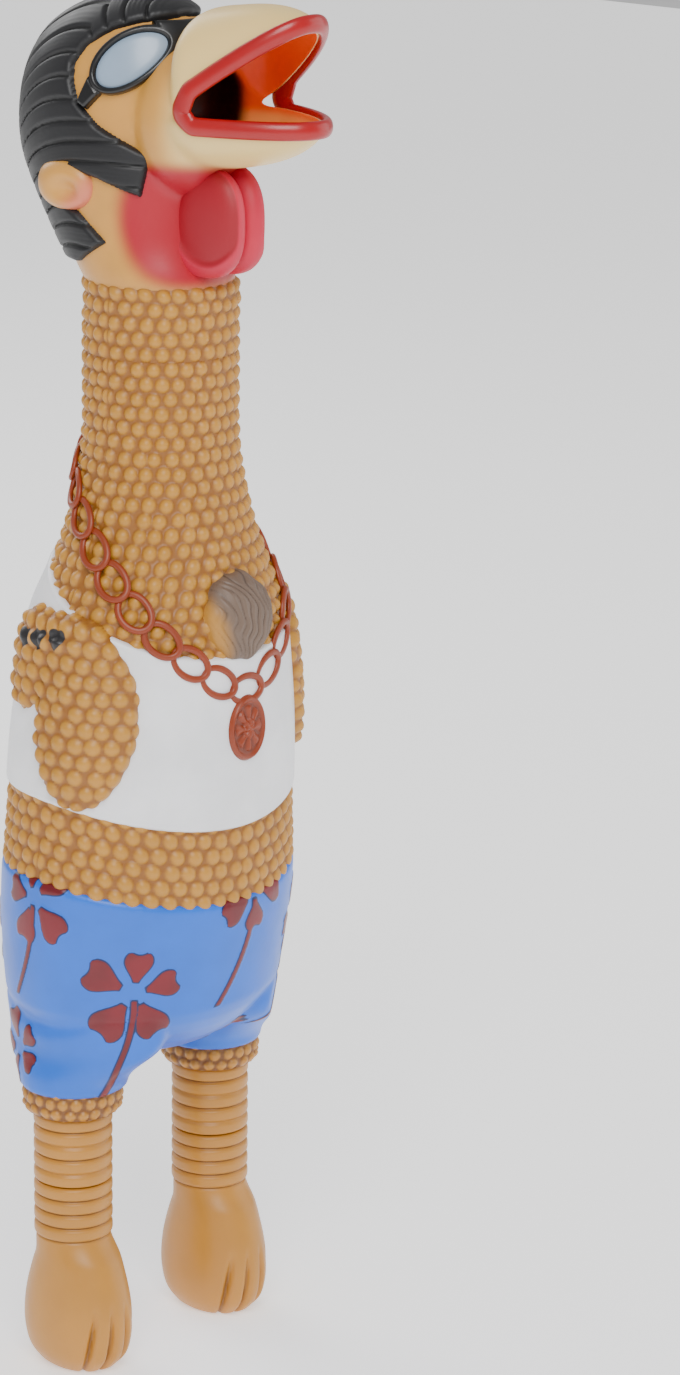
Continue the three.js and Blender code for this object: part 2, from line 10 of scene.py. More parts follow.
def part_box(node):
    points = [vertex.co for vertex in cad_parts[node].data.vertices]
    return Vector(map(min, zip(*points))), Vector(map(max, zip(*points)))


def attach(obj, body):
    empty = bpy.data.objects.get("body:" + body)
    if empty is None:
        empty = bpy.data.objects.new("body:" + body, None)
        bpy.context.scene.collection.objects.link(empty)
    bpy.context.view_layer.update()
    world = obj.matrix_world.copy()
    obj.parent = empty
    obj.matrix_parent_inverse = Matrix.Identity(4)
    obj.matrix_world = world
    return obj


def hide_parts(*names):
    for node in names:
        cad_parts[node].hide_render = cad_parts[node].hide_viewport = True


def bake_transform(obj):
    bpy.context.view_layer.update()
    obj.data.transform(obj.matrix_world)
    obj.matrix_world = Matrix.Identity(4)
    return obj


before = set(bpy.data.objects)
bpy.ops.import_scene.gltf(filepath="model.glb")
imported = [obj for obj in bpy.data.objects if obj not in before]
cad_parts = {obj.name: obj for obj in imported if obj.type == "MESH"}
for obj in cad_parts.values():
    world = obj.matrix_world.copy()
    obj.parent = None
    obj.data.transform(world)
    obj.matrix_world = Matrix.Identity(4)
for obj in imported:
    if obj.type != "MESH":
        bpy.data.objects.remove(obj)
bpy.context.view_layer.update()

MM = 0.001

# The chicken is described in millimetres in its mould's frame: soles on z = 0 and the beak towards -Y.
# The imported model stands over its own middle, a little further along Y.
LEG_X, LEG_Y = 31.5, 3.5
_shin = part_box("shin_right")
SHIFT_Y = (_shin[0].y + _shin[1].y) / 2 / MM - LEG_Y

# ---- the sizes of the moulding ----

NECK_RADIUS = 23.8
BODY_WIDTH, BODY_DEPTH = 100.8, 81.2
HEAD_WIDTH, HEAD_DEPTH = 53.0, 66.0
HEM_Z, CROTCH_Z, WAIST_Z, SHIRT_HEM_Z = 94.0, 102.0, 158.0, 182.0
NECKLINE_Z, NECKLINE_SLOPE = 253.0, 0.45
HEAD_Z, CHEEK_Z, CROWN_Z = 346.0, 391.0, 431.0
HIP_BEND = (84.0, 70.0)
ANKLE_BEND = (57.0, 44.5)
SHIN_RADIUS, HEM_RADIUS, HEM_X = 12.4, 16.4, 30.8
RIB_TOP, RIB_BOTTOM, RIBS = 85.3, 43.9, 9
RIB_PITCH = (RIB_TOP - RIB_BOTTOM) / RIBS
SHIN_SPLIT = RIB_TOP - 5 * RIB_PITCH
WAIST_RISE, HEM_RISE = 9.0, 11.0  # how far both edges of the waist rise from the front to the sides
MOUTH_Y, MOUTH_Z = -32.0, 402.0

FULLNESS = [(96, 0.7), (110, 0.8), (136, 0.94), (156, 1), (182, 0.955), (208, 0.905), (230, 0.8),
            (246, 0.69), (259, 0.45), (272, 0.24), (291, 0.05), (303, 0)]
CENTRE_Y = [(100, 4), (129, 3), (156, 1), (182, 0), (230, -2.5), (259, -4), (335, -4.5), (346, -4.5),
            (362, 3), (381, 9.3), (391, 10.7), (403, 10.5), (412, 9.5), (421, 7.5), (430, 3)]


def smooth(t):
    t = np.clip(t, 0, 1)
    return t * t * (3 - 2 * t)


def follow(pairs, z):
    """A smooth curve through (height, value) pairs."""
    xs = np.array([p[0] for p in pairs], float)
    vs = np.array([p[1] for p in pairs], float)
    slope = np.empty_like(vs)
    slope[1:-1] = (vs[2:] - vs[:-2]) / (xs[2:] - xs[:-2])
    slope[0] = (vs[1] - vs[0]) / (xs[1] - xs[0])
    slope[-1] = (vs[-1] - vs[-2]) / (xs[-1] - xs[-2])
    z = np.clip(np.asarray(z, float), xs[0], xs[-1])
    i = np.clip(np.searchsorted(xs, z, side="right") - 1, 0, len(xs) - 2)
    h = xs[i + 1] - xs[i]
    t = (z - xs[i]) / h
    a = (2 * t**3 - 3 * t**2 + 1) * vs[i] + (t**3 - 2 * t**2 + t) * slope[i] * h
    return a + (3 * t**2 - 2 * t**3) * vs[i + 1] + (t**3 - t**2) * slope[i + 1] * h


def section(z):
    """Half width, half depth and centre of the skin's ellipse at each height."""
    z = np.asarray(z, float)
    full = follow(FULLNESS, z)
    swell = smooth((z - HEAD_Z) / (CHEEK_Z - HEAD_Z))
    q = np.clip((z - CHEEK_Z) / (CROWN_Z - CHEEK_Z), 0, 1)
    close = (1 - q**2.5) ** 0.4
    body = z < HEAD_Z
    a = np.where(body, NECK_RADIUS + (BODY_WIDTH / 2 - NECK_RADIUS) * full,
                 (NECK_RADIUS + (HEAD_WIDTH / 2 - NECK_RADIUS) * swell) * close)
    b = np.where(body, NECK_RADIUS + (BODY_DEPTH / 2 - NECK_RADIUS) * full,
                 (NECK_RADIUS + (HEAD_DEPTH / 2 - NECK_RADIUS) * swell) * close)
    return a, b, follow(CENTRE_Y, z)


def skin(turn, z):
    """Points on the skin: turn 0 is the front, and it grows towards +X."""
    a, b, y = section(z)
    return np.stack([a * np.sin(turn), y - b * np.cos(turn), z + 0 * turn], -1)


def side_rise(turn):
    """0 at the front, rising to 1 at the sides and level behind."""
    off = np.abs((np.asarray(turn, float) + math.pi) % (2 * math.pi) - math.pi)
    return smooth(off / 1.75)


# ---- meshes ----

def to_object(name, points, faces):
    """A mesh object from millimetre points in the mould's frame."""
    world = np.asarray(points, float).reshape(-1, 3) + [0, SHIFT_Y, 0]
    mesh = bpy.data.meshes.new(name)
    mesh.from_pydata((world * MM).tolist(), [], [list(f) for f in faces])
    mesh.polygons.foreach_set("use_smooth", [True] * len(mesh.polygons))
    mesh.update()
    made = bpy.data.objects.new(name, mesh)
    bpy.context.scene.collection.objects.link(made)
    return made


def grid_faces(rows, columns, closed, keep=None):
    """Quads of a grid of points, joined round when closed. keep marks the points whose quads stay."""
    i, j = np.meshgrid(np.arange(rows - 1), np.arange(columns if closed else columns - 1), indexing="ij")
    right = (j + 1) % columns
    low, high = i * columns, (i + 1) * columns
    quads = np.stack([low + j, low + right, high + right, high + j], -1)
    quads = quads.reshape(-1, 4)
    if keep is not None:
        quads = quads[keep.reshape(-1)[quads].any(1)]
    return quads


def normals(points, closed):
    """Unit normals of a (rows, columns) grid of points on an upright surface, facing out."""
    if closed:
        across = np.roll(points, -1, 1) - np.roll(points, 1, 1)
    else:
        across = np.gradient(points, axis=1)
    up = np.gradient(points, axis=0)
    n = np.cross(across, up)
    return n / np.maximum(np.linalg.norm(n, axis=-1, keepdims=True), 1e-9)


def drop_loose(o):
    """Removes points that no face uses."""
    mesh = o.data
    used = np.zeros(len(mesh.vertices), bool)
    corner = np.zeros(len(mesh.loops), int)
    mesh.loops.foreach_get("vertex_index", corner)
    used[corner] = True
    if used.all():
        return o
    bm = bmesh.new()
    bm.from_mesh(mesh)
    bm.verts.ensure_lookup_table()
    bmesh.ops.delete(bm, geom=[bm.verts[i] for i in np.where(~used)[0]], context="VERTS")
    bm.to_mesh(mesh)
    bm.free()
    return o


def attribute(o, name, values):
    layer = o.data.attributes.new(name, "FLOAT", "POINT")
    layer.data.foreach_set("value", np.asarray(values, np.float32).reshape(-1))


def local_points(o):
    """The mesh's points in millimetres in the mould's frame."""
    co = np.zeros(len(o.data.vertices) * 3)
    o.data.vertices.foreach_get("co", co)
    return co.reshape(-1, 3) / MM - [0, SHIFT_Y, 0]


def move_points(o, points):
    """Moves the mesh's points to millimetre places in the mould's frame."""
    world = (points + [0, SHIFT_Y, 0]) * MM
    o.data.vertices.foreach_set("co", world.astype(np.float32).ravel())
    o.data.update()


def join(name, objects):
    first = objects[0]
    with bpy.context.temp_override(active_object=first, selected_editable_objects=objects, object=first):
        bpy.ops.object.join()
    first.name = name
    first.data.name = name
    return first


def apply_modifiers(o):
    graph = bpy.context.evaluated_depsgraph_get()
    mesh = bpy.data.meshes.new_from_object(o.evaluated_get(graph))
    old = o.data
    o.modifiers.clear()
    o.data = mesh
    bpy.data.meshes.remove(old)
    mesh.polygons.foreach_set("use_smooth", [True] * len(mesh.polygons))
    return o


def fuse(o, voxel, rounds=6):
    """Overlapping closed bodies become one skin with soft joins."""
    remesh = o.modifiers.new("fuse", "REMESH")
    remesh.mode = "VOXEL"
    remesh.voxel_size = voxel * MM
    soften = o.modifiers.new("soften", "SMOOTH")
    soften.factor = 0.5
    soften.iterations = rounds
    return apply_modifiers(o)


def ellipse_distance(u, v, semi_u, semi_v):
    """About how far inside an ellipse a point is, negative outside."""
    r = np.sqrt((u / semi_u) ** 2 + (v / semi_v) ** 2) + 1e-9
    slope = np.sqrt((u / semi_u**2) ** 2 + (v / semi_v**2) ** 2) / r + 1e-9
    return (1 - r) / slope


def soft_union(*distances, blend=3.0):
    total = sum(np.exp(np.clip(d / blend, -30, 30)) for d in distances)
    return blend * np.log(total)


def polygon_distance(y, z, outline):
    """How far inside a polygon each point is, negative outside."""
    y, z = np.asarray(y, float), np.asarray(z, float)
    best = np.full(y.shape, 1e9)
    inside = np.zeros(y.shape, bool)
    for (y0, z0), (y1, z1) in zip(outline, outline[1:] + outline[:1]):
        dy, dz = y1 - y0, z1 - z0
        t = np.clip(((y - y0) * dy + (z - z0) * dz) / (dy * dy + dz * dz), 0, 1)
        best = np.minimum(best, np.hypot(y - y0 - t * dy, z - z0 - t * dz))
        crosses = (z0 > z) != (z1 > z)
        met = y0 + (z - z0) * dy / np.where(dz == 0, 1e-9, dz)
        inside ^= crosses & (y < met)
    return np.where(inside, best, -best)


def edge(distance, radius):
    """0 outside an outline, rising over a rounded edge to 1 inside."""
    t = np.clip(distance / radius, 0, 1)
    return np.sqrt(1 - (1 - t) ** 2)


def wobble(points, scale, seed):
    """Gentle unevenness from a few waves, the same each run."""
    random = np.random.default_rng(seed)
    total = np.zeros(points.shape[:-1])
    for _ in range(6):
        direction = random.normal(size=3)
        direction /= np.linalg.norm(direction)
        total += np.sin(points @ direction * random.uniform(0.7, 1.6) / scale + random.uniform(0, 6.3))
    return total / 6


# ---- bumps ----

def scatter(*keys):
    """A value from -1 to 1 for each set of whole numbers."""
    mixed = sum(k * m for k, m in zip(keys, (12.9898, 78.233, 37.719)))
    return 2 * (np.abs(np.sin(mixed) * 43758.5453) % 1) - 1


def bump_rows(turn, z, spacing, pitch, radius, centre_section=section, first=0.0):
    """Round bumps in staggered rings: 0 between bumps and 1 on top of one."""
    rise = np.zeros(np.broadcast(turn, z).shape)
    row = np.floor((z - first) / pitch).astype(int)
    for step in (-1, 0, 1, 2):
        k = row + step
        level = first + k * pitch
        a, b, _ = centre_section(level)
        girth = math.pi * (3 * (a + b) - np.sqrt((3 * a + b) * (a + 3 * b)))
        count = np.round(girth / spacing)
        # the arc length round an ellipse, as a share of its girth
        skew = (a - b) / (a + b)
        share = (turn + 0.5 * skew * np.sin(2 * turn)) / (2 * math.pi)
        place = share * count - 0.5 * (k % 2)
        j = np.round(place)
        along = (place - j + 0.09 * scatter(k, j % count)) * girth / count
        above = z - level + 0.25 * scatter(k + 57, j % count)
        size = radius * (1 + 0.06 * scatter(k + 7, j % count + 31))
        gap = (along**2 + above**2) / size**2
        rise = np.maximum(rise, np.clip(1 - gap, 0, 1) ** 0.85)
    return rise


def round_section(radius):
    """The section of a plain cylinder, for bumps that don't follow the body's skin."""
    def centre_section(z):
        return radius + 0 * z, radius + 0 * z, 0 * z
    return centre_section


BUMP_HEIGHT = 1.5
SKIN_STEP = 0.55  # height between two rows of points
PARTING_HALF = 1.0  # half width of the smooth strip along the mould's parting line


def bumpy_ring(name, low, high, columns, spacing, pitch, radius, first, fade_top=None, sag=0.0):
    """A ring of bumpy skin between two heights, which may differ from column to column."""
    turn = np.arange(columns) / columns * 2 * math.pi
    low = np.broadcast_to(np.asarray(low, float), turn.shape)
    high = np.broadcast_to(np.asarray(high, float), turn.shape)
    count = int(math.ceil((high - low).max() / SKIN_STEP)) + 1
    share = np.linspace(0, 1, count)[:, None]
    z = low[None] * (1 - share) + high[None] * share
    turn = np.broadcast_to(turn, z.shape)
    base = skin(turn, z)
    out = normals(base, True)
    rise = bump_rows(turn, z - sag * side_rise(turn), spacing, pitch, radius, first=first)
    strip = np.minimum(np.abs(base[..., 1] - section(z)[2]) / PARTING_HALF, 1)
    rise = rise * (0.25 + 0.75 * smooth(strip))
    if fade_top is not None:
        rise = rise * smooth((fade_top - z) / 2.5)
    lift = -1.0 + BUMP_HEIGHT * rise + 0.25 * wobble(base, 9, 3)
    points = base + out * lift[..., None]
    made = to_object(name, points, grid_faces(*z.shape, True))
    attribute(made, "relief", rise)
    return made


# ---- materials ----

def material(name):
    m = bpy.data.materials.new(name)
    m.use_nodes = True
    return m, m.node_tree.nodes, m.node_tree.links


def link_mix(nodes, links, factor, first, second):
    mix = nodes.new("ShaderNodeMix")
    mix.data_type = "RGBA"
    for socket, value in ((mix.inputs[0], factor), (mix.inputs[6], first), (mix.inputs[7], second)):
        if isinstance(value, bpy.types.NodeSocket):
            links.new(value, socket)
        elif isinstance(value, (tuple, list)):
            socket.default_value = (*value, 1)
        else:
            socket.default_value = value
    return mix.outputs[2]


def ramp(nodes, links, source, low, high):
    """0 below low and 1 above high."""
    node = nodes.new("ShaderNodeMapRange")
    node.interpolation_type = "SMOOTHSTEP"
    node.inputs["From Min"].default_value = low
    node.inputs["From Max"].default_value = high
    links.new(source, node.inputs["Value"])
    return node.outputs["Result"]


def mottle(nodes, links, scale, detail=4):
    noise = nodes.new("ShaderNodeTexNoise")
    noise.inputs["Scale"].default_value = scale
    noise.inputs["Detail"].default_value = detail
    coordinates = nodes.new("ShaderNodeTexCoord")
    links.new(coordinates.outputs["Object"], noise.inputs["Vector"])
    return noise.outputs["Fac"]


def read(nodes, name):
    node = nodes.new("ShaderNodeAttribute")
    node.attribute_name = name
    return node.outputs["Fac"]


def latex(name, colour, roughness=0.42, coat=0.15, shade=None, relief=None, grain=0.12, soft=0.06):
    """Painted latex. shade builds the colour from the nodes; relief is painted shade, a darker colour laid
    in a moulded texture's hollows.
    """
    m, nodes, links = material(name)
    shader = nodes["Principled BSDF"]
    spots = ramp(nodes, links, mottle(nodes, links, 60), 0.3, 0.75)
    dull = tuple(c * 0.93 for c in colour)
    bright = tuple(min(1, c * 1.04) for c in colour)
    tint = link_mix(nodes, links, spots, dull, bright)
    # painted shade: where the relief attribute is low, the hollows take the darker relief colour
    if relief:
        hollow = ramp(nodes, links, read(nodes, "relief"), -0.1, 0.65)
        tint = link_mix(nodes, links, hollow, relief, tint)
    if shade:
        tint = shade(nodes, links, tint)
    links.new(tint, shader.inputs["Base Color"])
    fine = mottle(nodes, links, 700, 3)
    rough = nodes.new("ShaderNodeMapRange")
    rough.inputs["To Min"].default_value = roughness - 0.06
    rough.inputs["To Max"].default_value = roughness + 0.08
    links.new(mottle(nodes, links, 160), rough.inputs["Value"])
    links.new(rough.outputs["Result"], shader.inputs["Roughness"])
    bump = nodes.new("ShaderNodeBump")
    bump.inputs["Strength"].default_value = grain
    bump.inputs["Distance"].default_value = 0.0002
    links.new(fine, bump.inputs["Height"])
    links.new(bump.outputs["Normal"], shader.inputs["Normal"])
    shader.inputs["Subsurface Weight"].default_value = soft
    shader.inputs["Subsurface Radius"].default_value = (0.004, 0.002, 0.001)
    shader.inputs["Subsurface Scale"].default_value = 0.6
    shader.inputs["Coat Weight"].default_value = coat
    shader.inputs["Coat Roughness"].default_value = 0.25
    return m


def linear(hexcode):
    """An sRGB colour code as linear values."""
    values = [int(hexcode[i:i + 2], 16) / 255 for i in (0, 2, 4)]
    return tuple(v / 12.92 if v <= 0.04045 else ((v + 0.055) / 1.055) ** 2.4 for v in values)


def painted_where(name, colour):
    """A shade that lays one colour where the mesh's attribute is 1."""
    def shade(nodes, links, tint):
        return link_mix(nodes, links, ramp(nodes, links, read(nodes, name), 0.0, 1.0), tint, colour)
    return shade


def brushed_steel():
    m, nodes, links = material("reed_strip")
    shader = nodes["Principled BSDF"]
    shader.inputs["Metallic"].default_value = 1.0
    shader.inputs["Base Color"].default_value = (0.6, 0.6, 0.58, 1)
    brushed = ramp(nodes, links, mottle(nodes, links, 400), -1.0, 2.0)
    links.new(brushed, shader.inputs["Roughness"])
    return m


# the second tan is painted shade, laid in the hollows between the bumps
TAN_TOP, TAN_HOLLOW_SHADE = linear("bd852b"), linear("8e5719")
CREAM_COLOUR = linear("ce9340")
PALE_BEAK = linear("edcb80")
TAN = latex("bumpy_tan", TAN_TOP, 0.45, 0.1, relief=TAN_HOLLOW_SHADE)
# the leg's relief colour is painted shade in the rib grooves, between the cuff's bumps and in the toe
# grooves
LEG_TAN = latex("leg_tan", linear("be822c"), 0.42, 0.1, relief=linear("74430f"))
RED_PAINT = latex("wattle_red", linear("c4163a"), 0.5, 0.0, relief=linear("98001a"), soft=0.0)
LIP_RED = latex("lip_red", linear("a4000a"), 0.3, 0.15, soft=0.0)
# the hair's relief colour is painted shade in the grooves between the strands
HAIR_PAINT = latex("hair_charcoal", linear("121215"), 0.5, 0.04, relief=linear("050506"), soft=0.0)
GLASSES_BLACK = latex("glasses_black", linear("060608"), 0.3, 0.2, soft=0.0)
LENS_PAINT = latex("lens_blue_grey", linear("8fa3b8"), 0.3, 0.4, soft=0.0)
SHIRT_WHITE = latex("shirt_white", linear("f1f1f4"), 0.4, 0.15)
# the copper's relief colour is painted shade in the pendant's low field round its rim, petals and boss; on
# the chain links it darkens at random
COPPER = latex("chain_copper", linear("8a3208"), 0.42, 0.1, relief=linear("4a1a04"), soft=0.0)
# the tuft's relief colour is painted shade in the furrows between the strands
TUFT_PAINT = latex("tuft_grey_brown", linear("6e5a4c"), 0.5, 0.08, relief=linear("2a1d17"), soft=0.0,
                   shade=painted_where("tan", TAN_TOP))
PLASTIC = latex("sound_unit_plastic", linear("e6e2d8"), 0.4, 0.0, soft=0.02)
EAR_PAINT = latex("ear_cream", CREAM_COLOUR, 0.4, 0.15, shade=painted_where("blush", linear("d9705c")))
STEEL = brushed_steel()


def face_shade(nodes, links, tint):
    """The orange lining with a lighter floor as painted light, painted shade deep in the throat, and the red
    sprayed round the wattles.
    """
    blush = ramp(nodes, links, read(nodes, "blush"), 0.0, 1.0)
    tint = link_mix(nodes, links, ramp(nodes, links, read(nodes, "pale"), 0.0, 1.0), tint, PALE_BEAK)
    tint = link_mix(nodes, links, blush, tint, linear("ac0422"))
    lining = ramp(nodes, links, read(nodes, "lining"), 0.35, 0.65)
    depth = ramp(nodes, links, read(nodes, "depth"), 0.0, 1.0)
    floor = ramp(nodes, links, read(nodes, "floor"), 0.0, 1.0)
    # painted light: the lower beak's floor takes a lighter orange than the roof of the mouth
    orange = link_mix(nodes, links, floor, linear("ff6608"), linear("ffb25c"))
    # painted shade: deep in the mouth the lining turns near black-red where the throat lies
    inside = link_mix(nodes, links, depth, orange, linear("2a0508"))
    return link_mix(nodes, links, lining, tint, inside)


FACE = latex("face_cream", CREAM_COLOUR, 0.4, 0.15, shade=face_shade)


def shorts_shade(nodes, links, tint):
    outline = ramp(nodes, links, read(nodes, "petal"), -0.4, -0.15)
    petal = ramp(nodes, links, read(nodes, "petal"), 0.1, 0.35)
    streak = ramp(nodes, links, mottle(nodes, links, 45), 0.4, 0.65)
    red = link_mix(nodes, links, streak, linear("64000e"), linear("780216"))
    tint = link_mix(nodes, links, outline, tint, linear("06184a"))
    return link_mix(nodes, links, petal, tint, red)


SHORTS_BLUE = latex("shorts_blue", linear("0066dc"), 0.38, 0.1, shade=shorts_shade)


def wing_shade(nodes, links, tint):
    mark = ramp(nodes, links, read(nodes, "mark"), -0.15, 0.15)
    return link_mix(nodes, links, mark, tint, linear("1c1a1d"))


WING_TAN = latex("wing_tan", TAN_TOP, 0.45, 0.1, relief=TAN_HOLLOW_SHADE, shade=wing_shade)


def dress(o, finish, slot, *nodes):
    o.data.materials.clear()
    o.data.materials.append(finish)
    if nodes:
        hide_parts(*nodes)
    return o


def at(x, y, z):
    """A point of the mould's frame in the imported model's metres."""
    return (x * MM, (y + SHIFT_Y) * MM, z * MM)


# ---- neck and waist ----

def neckline(turn):
    """Height of the tank top's neckline round the body."""
    z = np.full_like(turn, NECKLINE_Z)
    for _ in range(12):
        z = NECKLINE_Z + NECKLINE_SLOPE * skin(turn, z)[..., 1]
    return z


NECK_SPLIT = 325.1  # a quiet line between two rings of bumps
NECK_SPACING, NECK_PITCH, NECK_BUMP_RADIUS = 5.35, 4.55, 2.42
WAIST_SPACING, WAIST_PITCH, WAIST_BUMP_RADIUS = 6.0, 4.95, 2.72
CHEST_COLUMNS, UPPER_NECK_COLUMNS, WAIST_COLUMNS = 400, 280, 470

around = np.arange(CHEST_COLUMNS) / CHEST_COLUMNS * 2 * math.pi
chest = bumpy_ring("chest_and_neck_skin", neckline(around) - 2.5, NECK_SPLIT, CHEST_COLUMNS,
                   NECK_SPACING, NECK_PITCH, NECK_BUMP_RADIUS, NECK_SPLIT - NECK_PITCH / 2)
dress(chest, TAN, "bumpy_latex", "chest_and_neck_base", "neck_bend")
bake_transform(chest)

upper_neck = bumpy_ring("upper_neck_skin", NECK_SPLIT, 350.0, UPPER_NECK_COLUMNS,
                        NECK_SPACING, NECK_PITCH, NECK_BUMP_RADIUS, NECK_SPLIT - NECK_PITCH / 2,
                        fade_top=349.0)
dress(upper_neck, TAN, "bumpy_latex", "neck", "nape_bend")
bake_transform(upper_neck)


def dent(o):
    """Bakes the piece's placement into its mesh and reads its points."""
    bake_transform(o)
    p = local_points(o)


around = np.arange(WAIST_COLUMNS) / WAIST_COLUMNS * 2 * math.pi
waist_line = WAIST_Z - 1.5 + WAIST_RISE * side_rise(around)
hem_line = SHIRT_HEM_Z - 1.5 + HEM_RISE * side_rise(around)
waist = bumpy_ring("waist_skin", waist_line - 2, hem_line + 2, WAIST_COLUMNS,
                   WAIST_SPACING, WAIST_PITCH, WAIST_BUMP_RADIUS, WAIST_Z + 4.0,
                   sag=(WAIST_RISE + HEM_RISE) / 2)
dress(waist, TAN, "bumpy_latex", "waist_band")
dent(waist)


# ---- tank top ----

def tank_top():
    count = 300
    turn = np.arange(count) / count * 2 * math.pi
    top = neckline(turn)
    hem = SHIRT_HEM_Z - 1.5 + HEM_RISE * side_rise(turn)
    near = np.linspace(0, 1, 9) ** 1.5 * 2.2
    middle = np.linspace(0, 1, 62)[1:-1]
    rows = [hem - 0.4 + d for d in near]
    rows += [(hem + 1.8) * (1 - t) + (top - 1.8) * t for t in middle]
    rows += [top + 0.4 - d for d in near[::-1]]
    z = np.array(rows)
    turn = np.broadcast_to(turn, z.shape)
    base = skin(turn, z)
    out = normals(base, True)
    inside = np.minimum(z - (hem - 0.4)[None], (top + 0.4)[None] - z)
    lift = -1.6 + 2.5 * edge(inside, 1.5) + 0.22 * wobble(base, 14, 8) * smooth(inside / 4)
    rib = np.exp(-((inside - 2.6) / 0.35) ** 2)
    strap = np.exp(-((np.abs(turn - math.pi) - (math.pi - 1.52)) * 45 / 0.8) ** 2) * smooth((z - 238) / 6)
    points = base + out * (lift - 0.25 * rib - 0.35 * strap)[..., None]
    made = to_object("tank_top_skin", points, grid_faces(*z.shape, True))
    dress(made, SHIRT_WHITE, "shirt_paint", "tank_top", "back_press_zone")
    dent(made)


tank_top()


# ---- wings ----

WING_LIFT = 4.6
WING_ROLL = 45.0  # radius that the wing's rows of bumps are laid out on


def wing(name, side):
    turn, z = np.meshgrid(np.radians(np.arange(34, 136, 0.72)), np.arange(184, 256, 0.62))
    base = skin(side * turn, z)
    if side < 0:
        base = base[:, ::-1]
        turn, z = turn[:, ::-1], z[:, ::-1]
    out = normals(base, False)
    a, b, _ = section(z)
    arc = turn * (a + b) / 2

    def arc_from(degrees):
        return arc - math.radians(degrees) * (a + b) / 2

    inside = soft_union(
        ellipse_distance(arc_from(71), z - 217, 18.5, 27.5),
        ellipse_distance(arc_from(107), z - 233.5, 12.0, 16.5),
        ellipse_distance(arc_from(88), z - 241, 19.0, 9.0),
        blend=1.2,
    )
    bumps = bump_rows(arc / WING_ROLL, z, 5.7, 4.9, 2.62, centre_section=round_section(WING_ROLL))
    scallop = inside + 0.7 * (bumps - 0.5)
    crown = 1 - 0.25 * smooth(1 - inside / 16)
    lift = -1.6 + (WING_LIFT + 1.2) * edge(scallop, 3.4) * crown + 1.4 * bumps * smooth(scallop / 2.0)
    points = base + out * lift[..., None]
    made = to_object(name, points, grid_faces(*z.shape, False, keep=scallop > -0.6))
    # relief is 0 round the wing's edge, so the painted shade of the hollows also darkens the crease where
    # the wing meets the body
    attribute(made, "relief", np.where(scallop > 0.4, bumps, 0))
    attribute(made, "mark", tattoo(arc_from(97), z - 239.5) if side < 0 else np.full(z.shape, -5.0))
    drop_loose(made)
    dress(made, WING_TAN, "bumpy_latex", name)
    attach(made, "trunk")


def tattoo(u, v):
    """Three small plain hearts in a slanting row."""
    found = np.full(u.shape, -5.0)
    for k in (-1, 0, 1):
        x = (u + 7.4 * k) / 3.1
        y = (v - 1.1 * k - 0.2) / 3.3
        heart = 1.0 - (x * x + (1.15 * y - 0.62 * np.sqrt(np.abs(x))) ** 2)
        found = np.maximum(found, heart * 1.4)
    return found


wing("wing_right", -1)
wing("wing_left", 1)


# ---- shorts ----

FLOWERS = [  # turn in degrees (negative is the chicken's right), height, petal length, spin
    (-44, 131, 18.5, 0.1),
    (-90, 160, 16.5, 1.0),
    (6, 158, 17.0, 0.5),
    (-106, 106, 14.0, 0.8),
    (50, 140, 16.0, 0.9),
    (92, 112, 14.5, 0.2),
    (118, 156, 15.5, 1.6),
    (170, 130, 16.5, 0.5),
    (-146, 140, 16.0, 1.1),
    (24, 104, 10.0, 2.0),
]


def petal_distance(along, aside, length):
    """A petal that widens from a narrow foot to a blunt end, lying along one axis."""
    t = np.clip(along / length, 0, 1.2)
    blunt = np.sqrt(np.clip(1 - ((t - 0.5) / 0.52) ** 6, 0, 1))
    half = length * (0.05 + 0.27 * smooth((t - 0.18) / 0.6)) * blunt
    end = length * (0.98 - 0.06 * np.cos(aside / length * 9)) - along
    return np.minimum(np.minimum(half - np.abs(aside), end), along - 0.26 * length)


def flower_distance(turn, z, scale):
    found = np.full(z.shape, -9.0)
    for degrees, height, size, spin in FLOWERS:
        off = (turn - math.radians(degrees) + math.pi) % (2 * math.pi) - math.pi
        u, v = off * scale, z - height
        for k in range(5):
            a = spin + k * 2 * math.pi / 5 + 0.07 * math.sin(3.7 * k + degrees)
            length = size * (0.88 + 0.14 * math.sin(5.1 * k + height))
            found = np.maximum(found, petal_distance(u * math.sin(a) + v * math.cos(a),
                                                     u * math.cos(a) - v * math.sin(a), length))
        bend = u + 0.010 * (v + 3) ** 2
        stem = np.minimum(1.0 - np.abs(bend), np.minimum(-v - 2.5, v + size * 2.1))
        found = np.maximum(found, stem)
    return found


def thigh(z):
    """Centre and half sizes of a leg of the shorts; its top draws in so that it ends inside the seat."""
    t = smooth((z - HEM_Z) / 24)
    sink = 1 - 0.14 * smooth((z - 106) / 14)
    a = (HEM_RADIUS + (20.5 - HEM_RADIUS) * t) * sink
    b = (HEM_RADIUS + (36.0 - HEM_RADIUS) * t) * sink
    return HEM_X + (26.0 - HEM_X) * t, a, b


def closed_loft(name, rings):
    """A closed body through rings of equal length, with a fan of faces at each end."""
    count = len(rings[0])
    ends = [np.mean(rings[0], 0), np.mean(rings[-1], 0)]
    points = np.concatenate([np.asarray(rings).reshape(-1, 3), ends])
    faces = grid_faces(len(rings), count, True).tolist()
    low, high = len(points) - 2, len(points) - 1
    last = (len(rings) - 1) * count
    faces += [[low, (j + 1) % count, j] for j in range(count)]
    faces += [[high, last + j, last + (j + 1) % count] for j in range(count)]
    return to_object(name, points, faces)


def ring(centre_x, centre_y, z, a, b, count=96):
    t = np.arange(count) / count * 2 * math.pi
    return np.stack([centre_x + a * np.sin(t), centre_y - b * np.cos(t), np.full(count, z)], -1)


def shrunk_skin(turn, z, share):
    a, b, y = section(z)
    return np.stack([share * a * np.sin(turn), y - share * b * np.cos(turn), z], -1)


